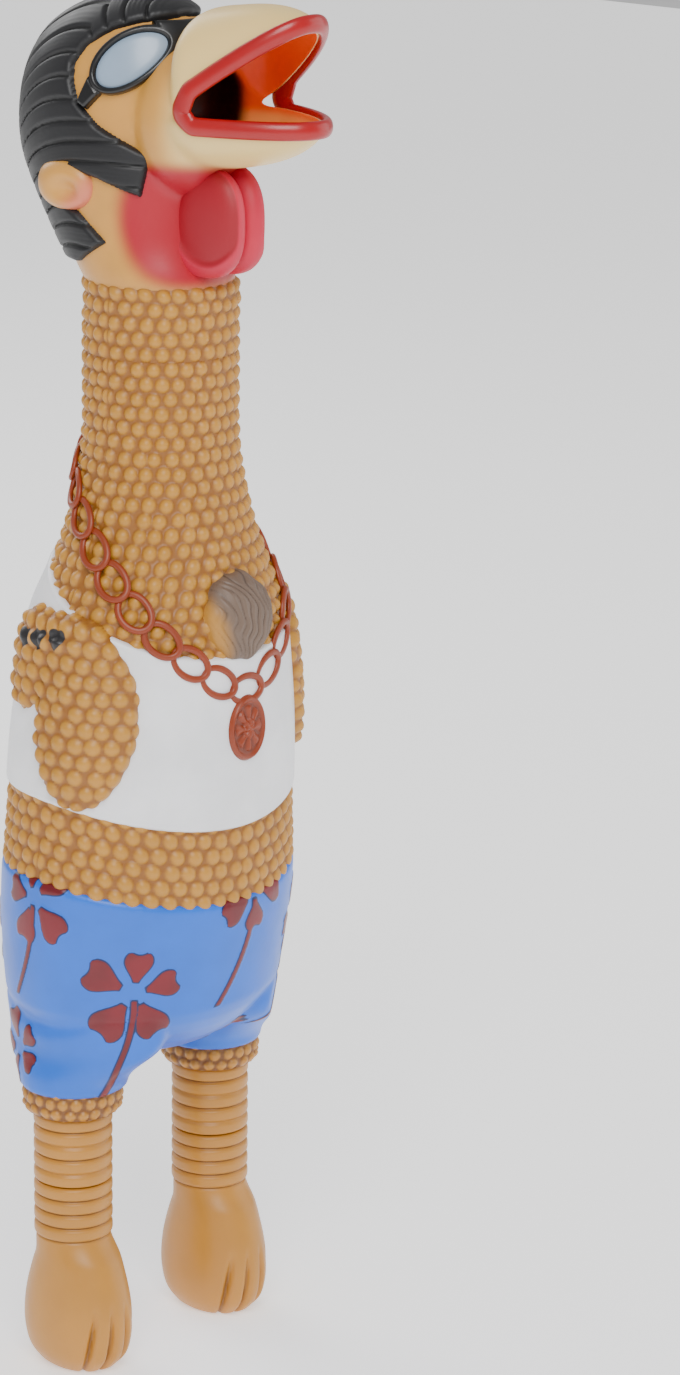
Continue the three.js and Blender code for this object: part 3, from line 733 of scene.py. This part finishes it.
def within_skin(points, share):
    """Draws points that lie outside the skin's ellipse back to it."""
    a, b, y = section(points[:, 2])
    out = np.maximum(np.hypot(points[:, 0] / a, (points[:, 1] - y) / b), 1)
    pulled = np.stack([points[:, 0] / out, y + (points[:, 1] - y) / out, points[:, 2]], 1)
    return points * (1 - share) + pulled * share


def shorts():
    turn = np.arange(192) / 192 * 2 * math.pi
    top = WAIST_Z - 1.5 + WAIST_RISE * side_rise(turn)
    shares = [0.28, 0.46, 0.63, 0.78, 0.89, 0.96]
    rings = [shrunk_skin(turn, CROTCH_Z + rise + 0 * turn, share)
             for rise, share in zip((-1, 0.6, 3.4, 7.5, 12, 16), shares)]
    rings += [shrunk_skin(turn, 118 * (1 - t) + (top - 1.0) * t, 1.0) for t in np.linspace(0.1, 1, 13)]
    rings += [shrunk_skin(turn, top, 0.985), shrunk_skin(turn, top, 0.5)]
    bodies = [closed_loft("seat", rings)]
    for side in (-1, 1):
        legs = []
        for z in np.linspace(HEM_Z, HEM_Z + 26, 14):
            x, a, b = thigh(z)
            legs.append(within_skin(ring(side * x, LEG_Y, z, a, b), smooth((z - 98) / 12)))
        bodies.append(closed_loft("thigh", legs))
    made = fuse(join("shorts_skin", bodies), 0.85, 7)
    p = local_points(made)
    a, b, y = section(p[:, 2])
    turn = np.arctan2(p[:, 0] / a, -(p[:, 1] - y) / b)
    petal = flower_distance(turn, p[:, 2], (a + b) / 2)
    attribute(made, "petal", petal)
    lift = 0.35 * edge(petal + 0.3, 1.0) + 0.2 * wobble(p, 12, 5) + 0.5
    out = np.zeros(len(p) * 3)
    made.data.vertex_normals.foreach_get("vector", out)
    move_points(made, p + out.reshape(-1, 3) * lift[:, None])
    dress(made, SHORTS_BLUE, "shorts_paint", "shorts")
    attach(made, "trunk")


shorts()


# ---- legs ----

_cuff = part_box("leg_cuff_right")
CUFF_RADIUS = (_cuff[1].x - _cuff[0].x) / 2 / MM
FOOT_TOP, FOOT_HALF_WIDTH, FOOT_HALF_LENGTH = 44.0, 14.5, 19.5
FOOT_WIDE = [(0, 0.6), (0.03, 0.72), (0.12, 0.9), (0.25, 0.985), (0.38, 1), (0.55, 0.97), (0.75, 0.89),
             (0.9, 0.83), (1, 0.8)]
FOOT_LONG = [(0, 0.6), (0.03, 0.72), (0.12, 0.9), (0.25, 0.985), (0.38, 1), (0.55, 0.95), (0.75, 0.82),
             (0.9, 0.68), (1, 0.6)]
TOES = (-0.7, -0.24, 0.22, 0.68)  # turns of the grooves between the toes


def leg_surface(turn, z):
    """Offsets from the leg's axis, and how high each point stands in the ribs and bumps."""
    ring_share = (RIB_TOP - z) / RIB_PITCH % 1
    rib = np.clip(1 - (2 * ring_share - 1) ** 4, 0, 1) ** 0.6
    shin = SHIN_RADIUS - 1.6 + 1.7 * rib
    bumps = bump_rows(turn, z, 4.7, 3.7, 2.0, first=RIB_TOP + 2.2,
                      centre_section=round_section(CUFF_RADIUS))
    cuff = CUFF_RADIUS - 1.4 + 1.1 * bumps - 1.2 * smooth((RIB_TOP + 3 - z) / 3)
    foot = z < RIB_BOTTOM
    height = z / FOOT_TOP
    a = np.where(z > RIB_TOP, cuff, shin)
    a = np.where(foot, FOOT_HALF_WIDTH * follow(FOOT_WIDE, height), a)
    b = np.where(foot, FOOT_HALF_LENGTH * follow(FOOT_LONG, height), np.where(z > RIB_TOP, cuff, shin))
    groove = 0 * turn
    for toe in TOES:
        bow = toe * (1.12 - 0.3 * z / 24)
        off = (turn + math.pi) % (2 * math.pi) - math.pi - bow
        groove = groove + np.exp(-(off * 15 / (1.2 - 0.02 * z)) ** 2)
    groove = groove * smooth((26 - z) / 14)
    parting = np.exp(-((np.abs(np.sin(turn / 2 + math.pi / 4) ** 2 - 0.5) - 0.5) * 26) ** 2)
    centre = -2.0 * smooth((RIB_BOTTOM - z) / 8)
    trim = 1 - 0.16 * groove - 0.012 * parting
    relief = np.where(foot, 0.85 - 0.75 * np.clip(groove, 0, 1), np.where(z > RIB_TOP, bumps, rib))
    return a * trim * np.sin(turn), centre - b * trim * np.cos(turn), relief


def leg(side, word):
    columns = 144
    flat = np.arange(columns) / columns * 2 * math.pi
    parts = (
        (f"upper_leg_{word}_skin", np.arange(SHIN_SPLIT, HEM_Z + 3, 0.4), ("trunk", f"leg_{word}"), HIP_BEND,
         (f"leg_cuff_{word}", f"hip_bend_{word}", f"shin_{word}")),
        (f"foot_{word}_skin", np.linspace(0, SHIN_SPLIT, 150), (f"leg_{word}", f"foot_{word}"), ANKLE_BEND,
         (f"ankle_bend_{word}", f"foot_{word}")),
    )
    for name, levels, bodies, bend, nodes in parts:
        turn, z = np.meshgrid(flat, levels)
        x, y, relief = leg_surface(turn, z)
        points = np.stack([side * LEG_X + x, LEG_Y + y, z], -1)
        if levels[0] == 0:
            middle = points[0].mean(0)
            sole = [middle + (points[0] - middle) * share for share in (0.04, 0.4, 0.8)]
            points = np.concatenate([np.array(sole), points])
            relief = np.concatenate([np.full((3, columns), 0.7), relief])
        made = to_object(name, points, grid_faces(*points.shape[:2], True))
        attribute(made, "relief", relief)
        dress(made, LEG_TAN, "leg_latex", *nodes)
        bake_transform(made)


leg(-1, "right")
leg(1, "left")


# ---- face and beak ----

def blob_points(v, u, semi, power):
    def bend(f):
        return np.sign(f) * np.abs(f) ** (2 / power)

    x = semi[0] * bend(np.cos(v)) * bend(np.sin(u))
    y = -semi[1] * bend(np.cos(v)) * bend(np.cos(u))
    return np.stack([x, y, semi[2] * bend(np.sin(v)) + 0 * u], -1)


def blob(name, centre, semi, power=2.0, warp=None, rows=64, columns=96):
    """A closed rounded body; a power above 2 squares it up."""
    v = np.linspace(-math.pi / 2 + 0.02, math.pi / 2 - 0.02, rows)[:, None]
    u = (np.arange(columns) / columns * 2 * math.pi)[None]
    points = blob_points(v, u, semi, power)
    if warp:
        points = warp(points)
    return closed_loft(name, points + centre)


def beak_warp(reach, taper, rise, root):
    """Narrows a body towards the beak's tip, lifts the tip, and shortens the back half."""
    def warp(p):
        forward = np.maximum(-p[..., 1], 0)
        x = p[..., 0] * (1 - taper * forward / reach)
        y = np.where(p[..., 1] > 0, p[..., 1] * root, p[..., 1])
        return np.stack([x, y, p[..., 2] + rise * forward], -1)
    return warp


UPPER = dict(centre=(0, -34, 410), semi=(22.5, 36.5, 22), power=2.45, warp=beak_warp(36.5, 0.42, 0.16, 0.32))
LOWER = dict(centre=(0, -36, 399), semi=(21.5, 33, 15), power=2.25, warp=beak_warp(33, 0.35, 0.13, 0.75))
LIP_Z, LIP_SLOPE, CHIN_RIM_Z = 404.0, 0.72, 400.0


def shrink(form, by):
    return dict(form, semi=tuple(s - by for s in form["semi"]))


def keep_side(o, point, normal):
    """Cuts a closed body and keeps what lies on the normal's side."""
    bm = bmesh.new()
    bm.from_mesh(o.data)
    everything = bm.verts[:] + bm.edges[:] + bm.faces[:]
    bmesh.ops.bisect_plane(bm, geom=everything, plane_co=at(*point), plane_no=normal, clear_inner=True)
    bmesh.ops.holes_fill(bm, edges=[e for e in bm.edges if e.is_boundary])
    bm.to_mesh(o.data)
    bm.free()
    return o


def jaw_bend(o):
    """Bakes the piece's placement into its mesh and reads its points."""
    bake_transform(o)
    p = local_points(o)


def head_levels():
    turned = (math.pi / 2 - 0.004) * np.linspace(0, 1, 90) ** 1.2
    return CHEEK_Z + (CROWN_Z - CHEEK_Z) * np.sin(turned) ** 0.8


def nearest(o, points):
    """Distance in millimetres from each point to a mesh."""
    tree = BVHTree.FromPolygons([v.co for v in o.data.vertices], [p.vertices for p in o.data.polygons])
    return np.array([tree.find_nearest(Vector(at(*p)))[3] for p in points]) / MM


WATTLE = (4.9, -27.7, 367.5)  # centre of the wattle of the side towards +X


def face():
    turn = np.arange(120) / 120 * 2 * math.pi
    levels = np.concatenate([np.arange(HEAD_Z, CHEEK_Z, 3), head_levels()[::3]])
    low = [shrunk_skin(turn, z + 0 * turn, share)
           for z, share in ((344.6, 0.9), (346.5, 0.955), (348.5, 0.985))]
    head = closed_loft("head", low + [skin(turn, z + 0 * turn) for z in levels[levels > 349]])
    cheeks = blob("cheeks", (0, -19.5, 397), (21.4, 17, 24))
    upper = keep_side(blob("upper", **UPPER), (0, MOUTH_Y, LIP_Z), (0, LIP_SLOPE, 1))
    lower = keep_side(blob("lower", **LOWER), (0, MOUTH_Y, CHIN_RIM_Z), (0, 0, -1))
    made = fuse(join("face_skin", [head, cheeks, upper, lower]), 0.8, 34)
    hollow = [
        blob("hollow", **shrink(UPPER, 2.8)),
        blob("hollow", **shrink(LOWER, 2.8)),
        blob("hollow", (0, -19, 401), (16, 14, 12), 2.6),
    ]
    mouth = fuse(join("mouth", hollow), 0.9, 3)
    cut = made.modifiers.new("mouth", "BOOLEAN")
    cut.operation = "DIFFERENCE"
    cut.solver = "EXACT"
    cut.object = mouth
    apply_modifiers(made)
    p = local_points(made)
    inner = nearest(mouth, p) < 0.06
    bpy.data.objects.remove(mouth)
    attribute(made, "lining", inner)
    # depth grows towards the back of the mouth, where the throat is painted dark as painted shade
    attribute(made, "depth", smooth((p[:, 1] + 27) / 7))
    # floor marks the lower beak's floor, painted a lighter orange as painted light
    attribute(made, "floor", smooth((401 - p[:, 2]) / 5))
    near = ellipse_distance(p[:, 1] - WATTLE[1], p[:, 2] - WATTLE[2] - 2, 14.3, 17)
    attribute(made, "blush", smooth((near + 10) / 9) * (1 - inner) * smooth((389 - p[:, 2]) / 8))
    attribute(made, "pale", smooth((-18 - p[:, 1]) / 16) * smooth((p[:, 2] - 376) / 12))
    dress(made, FACE, "face_latex", "head_and_upper_beak", "chin_bend", "lower_beak")
    jaw_bend(made)


face()


def tube(name, path, out, half_out, half_up, sides):
    """An oval bar along a closed path; out is the direction its thickness is measured in."""
    along = np.roll(path, -1, 0) - np.roll(path, 1, 0)
    along /= np.linalg.norm(along, axis=1, keepdims=True)
    out = out - along * (out * along).sum(1, keepdims=True)
    out /= np.linalg.norm(out, axis=1, keepdims=True)
    up = np.cross(along, out)
    t = np.arange(sides) / sides * 2 * math.pi
    half_out = np.broadcast_to(half_out, len(path))[:, None, None]
    half_up = np.broadcast_to(half_up, len(path))[:, None, None]
    rings = path[:, None] + half_out * np.cos(t)[None, :, None] * out[:, None]
    rings = rings + half_up * np.sin(t)[None, :, None] * up[:, None]
    return to_object(name, np.concatenate([rings, rings[:1]]), grid_faces(len(path) + 1, sides, True))


def beak_edge(form, height):
    """Points along a beak's cut edge, from the right corner round the tip to the left one."""
    u = np.linspace(-2.0, 2.0, 241)
    low, high = np.full(u.shape, -1.55), np.full(u.shape, 1.55)
    for _ in range(40):
        middle = (low + high) / 2
        p = form["warp"](blob_points(middle, u, form["semi"], form["power"])) + form["centre"]
        above = height(p) > 0
        low, high = np.where(above, low, middle), np.where(above, middle, high)
    return p[p[:, 1] < MOUTH_Y - 4.5]


def evenly(path, count):
    """The same closed path with evenly spaced, slightly rounded points."""
    for _ in range(2):
        loop = np.concatenate([path, path[:1]])
        run = np.concatenate([[0], np.cumsum(np.linalg.norm(np.diff(loop, axis=0), axis=1))])
        places = np.linspace(0, run[-1], count + 1)[:-1]
        path = np.stack([np.interp(places, run, loop[:, k]) for k in range(3)], 1)
        path = (np.roll(path, 2, 0) + 2 * np.roll(path, 1, 0) + 3 * path + 2 * np.roll(path, -1, 0)
                + np.roll(path, -2, 0)) / 9
    return path


def lips():
    over = beak_edge(shrink(UPPER, -0.1), lambda p: p[:, 2] - LIP_Z - LIP_SLOPE * (MOUTH_Y - p[:, 1]) - 1.6)
    under = beak_edge(shrink(LOWER, -0.1), lambda p: p[:, 2] - CHIN_RIM_Z + 1.4)
    corner = np.array([[22.0, MOUTH_Y - 1.2, MOUTH_Z + 0.4]])
    path = evenly(np.concatenate([over, corner, under[::-1], corner * [-1, 1, 1]]), 320)
    out = np.stack([path[:, 0] / 15, (path[:, 1] + 40) / 30, 0 * path[:, 0]], 1)
    out[:, 1] = np.minimum(out[:, 1], 0.2)
    wide = 2.8 + 1.0 * np.exp(-(((path[:, 1] - MOUTH_Y) / 4) ** 2))
    made = tube("lips_skin", path, out, 1.75, wide, 24)
    dress(made, LIP_RED, "lip_paint")
    jaw_bend(made)


lips()


def bulge(name, centre, semi, power, seed, amount, finish, slot, nodes, shape=None):
    made = blob(name, centre, semi, power, rows=90, columns=120)
    p = local_points(made)
    away = p - centre
    away /= np.maximum(np.linalg.norm(away, axis=1, keepdims=True), 1e-6)
    waves = wobble(p, 2.6, seed)
    moved = p + away * (amount * waves)[:, None]
    if shape:
        moved = shape(moved)
    move_points(made, moved)
    attribute(made, "relief", 0.6 + 0.9 * waves)
    dress(made, finish, slot, *nodes)
    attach(made, "head")
    return made


def ear(side, word):
    centre = np.array([side * 24.5, 10.5, 377.0])

    def hollowed(p):
        u, v = (p[:, 1] - centre[1]) / 11, (p[:, 2] - centre[2]) / 8.3
        pressed = 3.6 * np.exp(-((u + 0.3) ** 2 + (v + 0.15) ** 2) / 0.16)
        return p - np.stack([side * pressed, 0 * u, 0 * u], 1)

    made = bulge(f"ear_{word}_skin", centre, (6.6, 10.6, 8.0), 2.2, 5, 0.15, EAR_PAINT, "face_latex",
                 (f"ear_{word}",), hollowed)
    p = local_points(made)
    u, v = (p[:, 1] - centre[1]) / 11, (p[:, 2] - centre[2]) / 8.3
    attribute(made, "blush", 0.75 * smooth(-0.9 * u - 0.6 * v))


def wattle(side, word):
    """A flap under the chin: narrower behind its top, with a raised rim round a hollowed outer face."""
    centre = np.array([side * WATTLE[0], WATTLE[1], WATTLE[2]])

    def flap(p):
        x, y, z = (p - centre).T
        behind = 1 - 0.5 * smooth(z / 17 + 0.1)
        share = np.sqrt(((y + 3.5) / 14.3) ** 2 + ((z - 4) / 17.5) ** 2)
        hollow = 1.3 * smooth((1.0 - share) / 0.16) * smooth(side * x / 3)
        return centre + np.stack([x - side * hollow, np.where(y > 0, y * behind, y), z], 1)

    made = blob(f"wattle_{word}_skin", centre, (6.2, 14.3, 16.8), 2.5, rows=120, columns=160)
    p = local_points(made)
    share = np.sqrt(((p[:, 1] - centre[1] + 3.5) / 14.3) ** 2 + ((p[:, 2] - centre[2] - 4) / 17.5) ** 2)
    outer = smooth(side * (p[:, 0] - centre[0]) / 3)
    move_points(made, flap(p))
    attribute(made, "relief", 0.7 - 0.8 * smooth((1.04 - share) / 0.16) * outer)
    dress(made, RED_PAINT, "wattle_paint", f"wattle_{word}")
    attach(made, "head")


for _side, _word in ((-1, "right"), (1, "left")):
    ear(_side, _word)
    wattle(_side, _word)


# ---- hair and sunglasses ----

HAIR_OUTLINE = [(-14, 426.5), (-8, 425.3), (-2, 423.2), (4.7, 418.5), (7.8, 413), (7.2, 408), (4.8, 402.3),
                (-2.5, 395.5), (-16, 387.5), (-14, 374.5), (-1.8, 379.5), (8, 382), (14, 374), (5, 369),
                (-4.8, 360.6), (7, 353.4), (60, 353.4), (60, 450), (-14, 450)]


def hair():
    levels = np.concatenate([np.arange(351.5, CHEEK_Z, 0.5), head_levels()])
    turn, z = np.meshgrid(np.arange(300) / 300 * 2 * math.pi, levels)
    base = skin(turn, z)
    out = normals(base, True)
    y = base[..., 1]
    inside = polygon_distance(y, z, HAIR_OUTLINE)
    ahead = np.maximum(5 - y, 0)
    level = z + 0.017 * np.maximum(y - 5, 0) ** 2 + 1.0 * ahead * smooth((z - 410) / 10)
    level = level + 0.5 * np.sin(y / 6 + z / 9)
    band = 2 * np.abs(level / 6.3 % 1 - 0.5)
    groove = np.exp(-(((1 - band) * 3.15) / 0.45) ** 2)
    fine = 0.5 + 0.5 * np.sin(level * 2 * math.pi / 1.25 + 1.3 * np.sin(y / 5))
    lift = -1.2 + 3.4 * edge(inside, 1.7) - (1.1 * groove + 0.07 * fine) * smooth(inside / 1.5)
    points = base + out * lift[..., None]
    made = to_object("hair_skin", points, grid_faces(*z.shape, True, keep=inside > -0.4))
    attribute(made, "relief", 0.9 - 1.1 * groove - 0.15 * fine)
    drop_loose(made)
    dress(made, HAIR_PAINT, "hair_paint", "hair")
    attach(made, "head")


hair()

LENS_TURN = 2.32
TEMPLE = [(-3, 405), (1.5, 400), (4.8, 402), (1.5, 410.5)]


def lens_distance(y, z, grow=0.0):
    u = (y + 8.3) * math.cos(LENS_TURN) + (z - 414.7) * math.sin(LENS_TURN)
    v = (z - 414.7) * math.cos(LENS_TURN) - (y + 8.3) * math.sin(LENS_TURN)
    return ellipse_distance(u, v, 9.2 + grow, 5.9 + grow)


def sunglasses():
    turn, z = np.meshgrid(np.arange(-1.95, 1.95, 0.0125), np.arange(397, 428.6, 0.32))
    base = skin(turn, z)
    out = normals(base, False)
    x, y = base[..., 0], base[..., 1]
    brow = np.minimum(np.minimum(z - 418.8, 425.8 - z), 10.5 - np.abs(x))
    brow = np.where(y < -8, brow, -9)
    inside = np.maximum(np.maximum(lens_distance(y, z, 2.3), polygon_distance(y, z, TEMPLE)), brow)
    hole = lens_distance(y, z, 0.2)
    lift = -0.8 + 3.6 * edge(inside, 1.2) * (1 - 0.75 * smooth((hole + 0.2) / 0.8))
    frame_points = base + out * lift[..., None]
    made = to_object("sunglasses_frame_skin", frame_points, grid_faces(*z.shape, False, keep=inside > -0.3))
    drop_loose(made)
    dress(made, GLASSES_BLACK, "glasses_paint", "sunglasses_frame")
    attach(made, "head")
    for side, word in ((-1, "right"), (1, "left")):
        pane = lens_distance(y, z)
        points = base + out * (0.6 + 1.1 * edge(pane + 0.6, 2.5))[..., None]
        keep = (pane > -0.5) & (side * x > 0)
        made = to_object(f"sunglasses_lens_{word}_skin", points, grid_faces(*z.shape, False, keep=keep))
        drop_loose(made)
        dress(made, LENS_PAINT, "lens_paint", f"sunglasses_lens_{word}")
        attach(made, "head")


sunglasses()


# ---- chain, pendant and tuft ----

def raised(turn, z, lift):
    """A point that stands off the skin."""
    turn, z = np.broadcast_arrays(np.asarray(turn, float), np.asarray(z, float))
    step = 0.4
    a = section(z)[0]
    across = skin(turn + step / a, z) - skin(turn - step / a, z)
    up = skin(turn, z + step) - skin(turn, z - step)
    n = np.cross(across, up)
    n /= np.linalg.norm(n, axis=-1, keepdims=True)
    return skin(turn, z) + n * np.asarray(lift)[..., None], n


def chain_height(turn):
    return 224.5 + 78 * (np.sqrt(np.sin(turn / 2) ** 2 + 0.0144) - 0.12)


def chain():
    turn = np.linspace(-math.pi, math.pi, 4001)
    spine, _ = raised(turn, chain_height(turn), 0.8 + 0 * turn)
    run = np.concatenate([[0], np.cumsum(np.linalg.norm(np.diff(spine, axis=0), axis=1))])
    count = int(round(run[-1] / 11.9))
    links = []
    for k in range(count):
        centre = np.interp((k + 0.5) / count * run[-1], run, turn)
        a, b, _ = section(chain_height(centre))
        slope = (chain_height(centre + 0.01) - chain_height(centre - 0.01)) / 0.02
        pace = math.hypot(float(a) * math.cos(centre), float(b) * math.sin(centre))
        lean = math.atan2(slope, pace)
        t = np.arange(48) / 48 * 2 * math.pi
        u, v = 6.3 * np.cos(t), 4.0 * np.sin(t)
        du = (u * math.cos(lean) - v * math.sin(lean)) / pace
        dz = u * math.sin(lean) + v * math.cos(lean)
        tilt = 0.6 * np.cos(t)
        path, out = raised(centre + du, chain_height(centre) + dz, 0.9 + tilt)
        links.append(tube("link", path, out, 0.9, 1.1, 12))
    made = join("necklace_skin", links)
    attribute(made, "relief", 0.75 + 0.25 * wobble(local_points(made), 3, 2))
    dress(made, COPPER, "chain_paint", "necklace")
    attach(made, "trunk")


chain()


def pendant():
    share, angle = np.meshgrid(np.linspace(0.001, 1, 60), np.arange(120) / 120 * 2 * math.pi, indexing="ij")
    x, dz = 7.8 * share * np.cos(angle), 10.8 * share * np.sin(angle)
    rim = np.exp(-(((share - 0.86) / 0.09) ** 2))
    petals = smooth((0.70 - share) / 0.1) * (0.5 + 0.5 * np.cos(8 * angle)) * smooth(share / 0.35)
    boss = np.sqrt(np.clip(1 - (share / 0.3) ** 2, 0, 1))
    height = 1.9 * edge((1 - share) * 9, 1.6) + 1.0 * rim + 0.9 * petals + 1.2 * boss
    turn = x / 46.0
    points, _ = raised(turn, 212.2 + dz, height - 0.5)
    faces = grid_faces(*share.shape, True)
    made = to_object("pendant_skin", points, faces)
    attribute(made, "relief", 0.25 + 0.7 * np.clip(rim + petals + boss, 0, 1))
    dress(made, COPPER, "chain_paint", "pendant")
    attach(made, "trunk")


pendant()


def tuft():
    turn, z = np.meshgrid(np.linspace(-0.62, 0.62, 170), np.arange(230.5, 263.5, 0.3))
    base = skin(turn, z)
    out = normals(base, False)
    x = base[..., 0]
    ragged = 0.35 * np.sin(x / 1.3 + 0.8 * np.sin(z / 3)) + 0.25 * np.sin(z / 1.6 + x / 4)
    inside = ellipse_distance(x + 0.3, z - 247.2, 13.2, 13.6) + ragged
    flow = (x - 3) * (1 + 0.035 * (246 - z)) + 1.5 * np.sin(z / 3.1 + x / 6) + 0.5 * np.sin(z / 1.3 + x / 2)
    strand = np.abs(np.sin(flow * math.pi / 2.3)) ** 0.6
    fine = np.abs(np.sin(flow * math.pi / 1.05 + 0.6))
    lift = -1.2 + (5.6 + 1.2) * edge(inside, 9.0) - 0.8 * (1 - strand) * smooth(inside / 3)
    points = base + out * (lift - 0.2 * (1 - fine))[..., None]
    made = to_object("chest_tuft_skin", points, grid_faces(*z.shape, False, keep=inside > -0.8))
    attribute(made, "relief", 0.75 * strand + 0.25 * fine)
    attribute(made, "tan", 0.75 * smooth((-x - 6.5 + 0.25 * (247 - z)) / 6))
    drop_loose(made)
    dress(made, TUFT_PAINT, "tuft_paint", "chest_tuft")
    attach(made, "trunk")


tuft()


# ---- sound unit, inside the neck ----

for _node, _finish in (
    ("squawker_barrel", PLASTIC),
    ("squawker_reed_base", PLASTIC),
    ("squawker_cap", PLASTIC),
    ("squawker_reed", STEEL),
):
    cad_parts[_node].data.materials.clear()
    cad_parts[_node].data.materials.append(_finish)


# ---- studio ----

def studio():
    reach, low = 3000, -0.2
    corners = [(-reach, -reach, low), (reach, -reach, low), (reach, reach, low), (-reach, reach, low)]
    floor = to_object("floor", corners, [(0, 1, 2, 3)])
    paper, nodes, links = material("paper")
    tone = ramp(nodes, links, mottle(nodes, links, 3), 0.0, 1.0)
    colour = link_mix(nodes, links, tone, (0.88, 0.88, 0.88), (0.9, 0.9, 0.9))
    links.new(colour, nodes["Principled BSDF"].inputs["Base Color"])
    nodes["Principled BSDF"].inputs["Roughness"].default_value = 0.8
    nodes["Principled BSDF"].inputs["Emission Color"].default_value = (1, 1, 1, 1)
    nodes["Principled BSDF"].inputs["Emission Strength"].default_value = 0.7
    floor.data.materials.append(paper)
    world = bpy.context.scene.world or bpy.data.worlds.new("studio")
    bpy.context.scene.world = world
    world.use_nodes = True
    world.node_tree.nodes["Background"].inputs["Color"].default_value = (1, 1, 1, 1)
    world.node_tree.nodes["Background"].inputs["Strength"].default_value = 0.55
    for name, place, size, power in (
        ("key", (-900, -900, 1300), 0.9, 22),
        ("fill", (1300, -900, 700), 1.2, 7),
        ("rim", (300, 1300, 1100), 0.9, 10),
    ):
        light = bpy.data.lights.new(name, "AREA")
        light.size = size
        light.energy = power
        lamp = bpy.data.objects.new(name, light)
        bpy.context.scene.collection.objects.link(lamp)
        lamp.location = at(*place)
        lamp.rotation_euler = (Vector(at(0, 0, 220)) - lamp.location).to_track_quat("-Z", "Y").to_euler()


studio()


def photo_camera():
    """Stands at the chicken's right front, a little above it."""
    turned, raised_by, distance = math.radians(-46), math.radians(15.5), 1390.0
    aside = math.radians(2.44)
    back = Vector((math.sin(turned) * math.cos(raised_by), -math.cos(turned) * math.cos(raised_by),
                   math.sin(raised_by)))
    camera = bpy.data.objects.new("camera", bpy.data.cameras.new("camera"))
    bpy.context.scene.collection.objects.link(camera)
    camera.data.lens = 116.5
    camera.location = Vector(at(0, 0, 217.0)) + back * distance * MM
    facing = (-back).to_track_quat("-Z", "Y") @ Quaternion((0, 1, 0), -aside)
    camera.rotation_euler = facing.to_euler()
    bpy.context.scene.camera = camera


photo_camera()
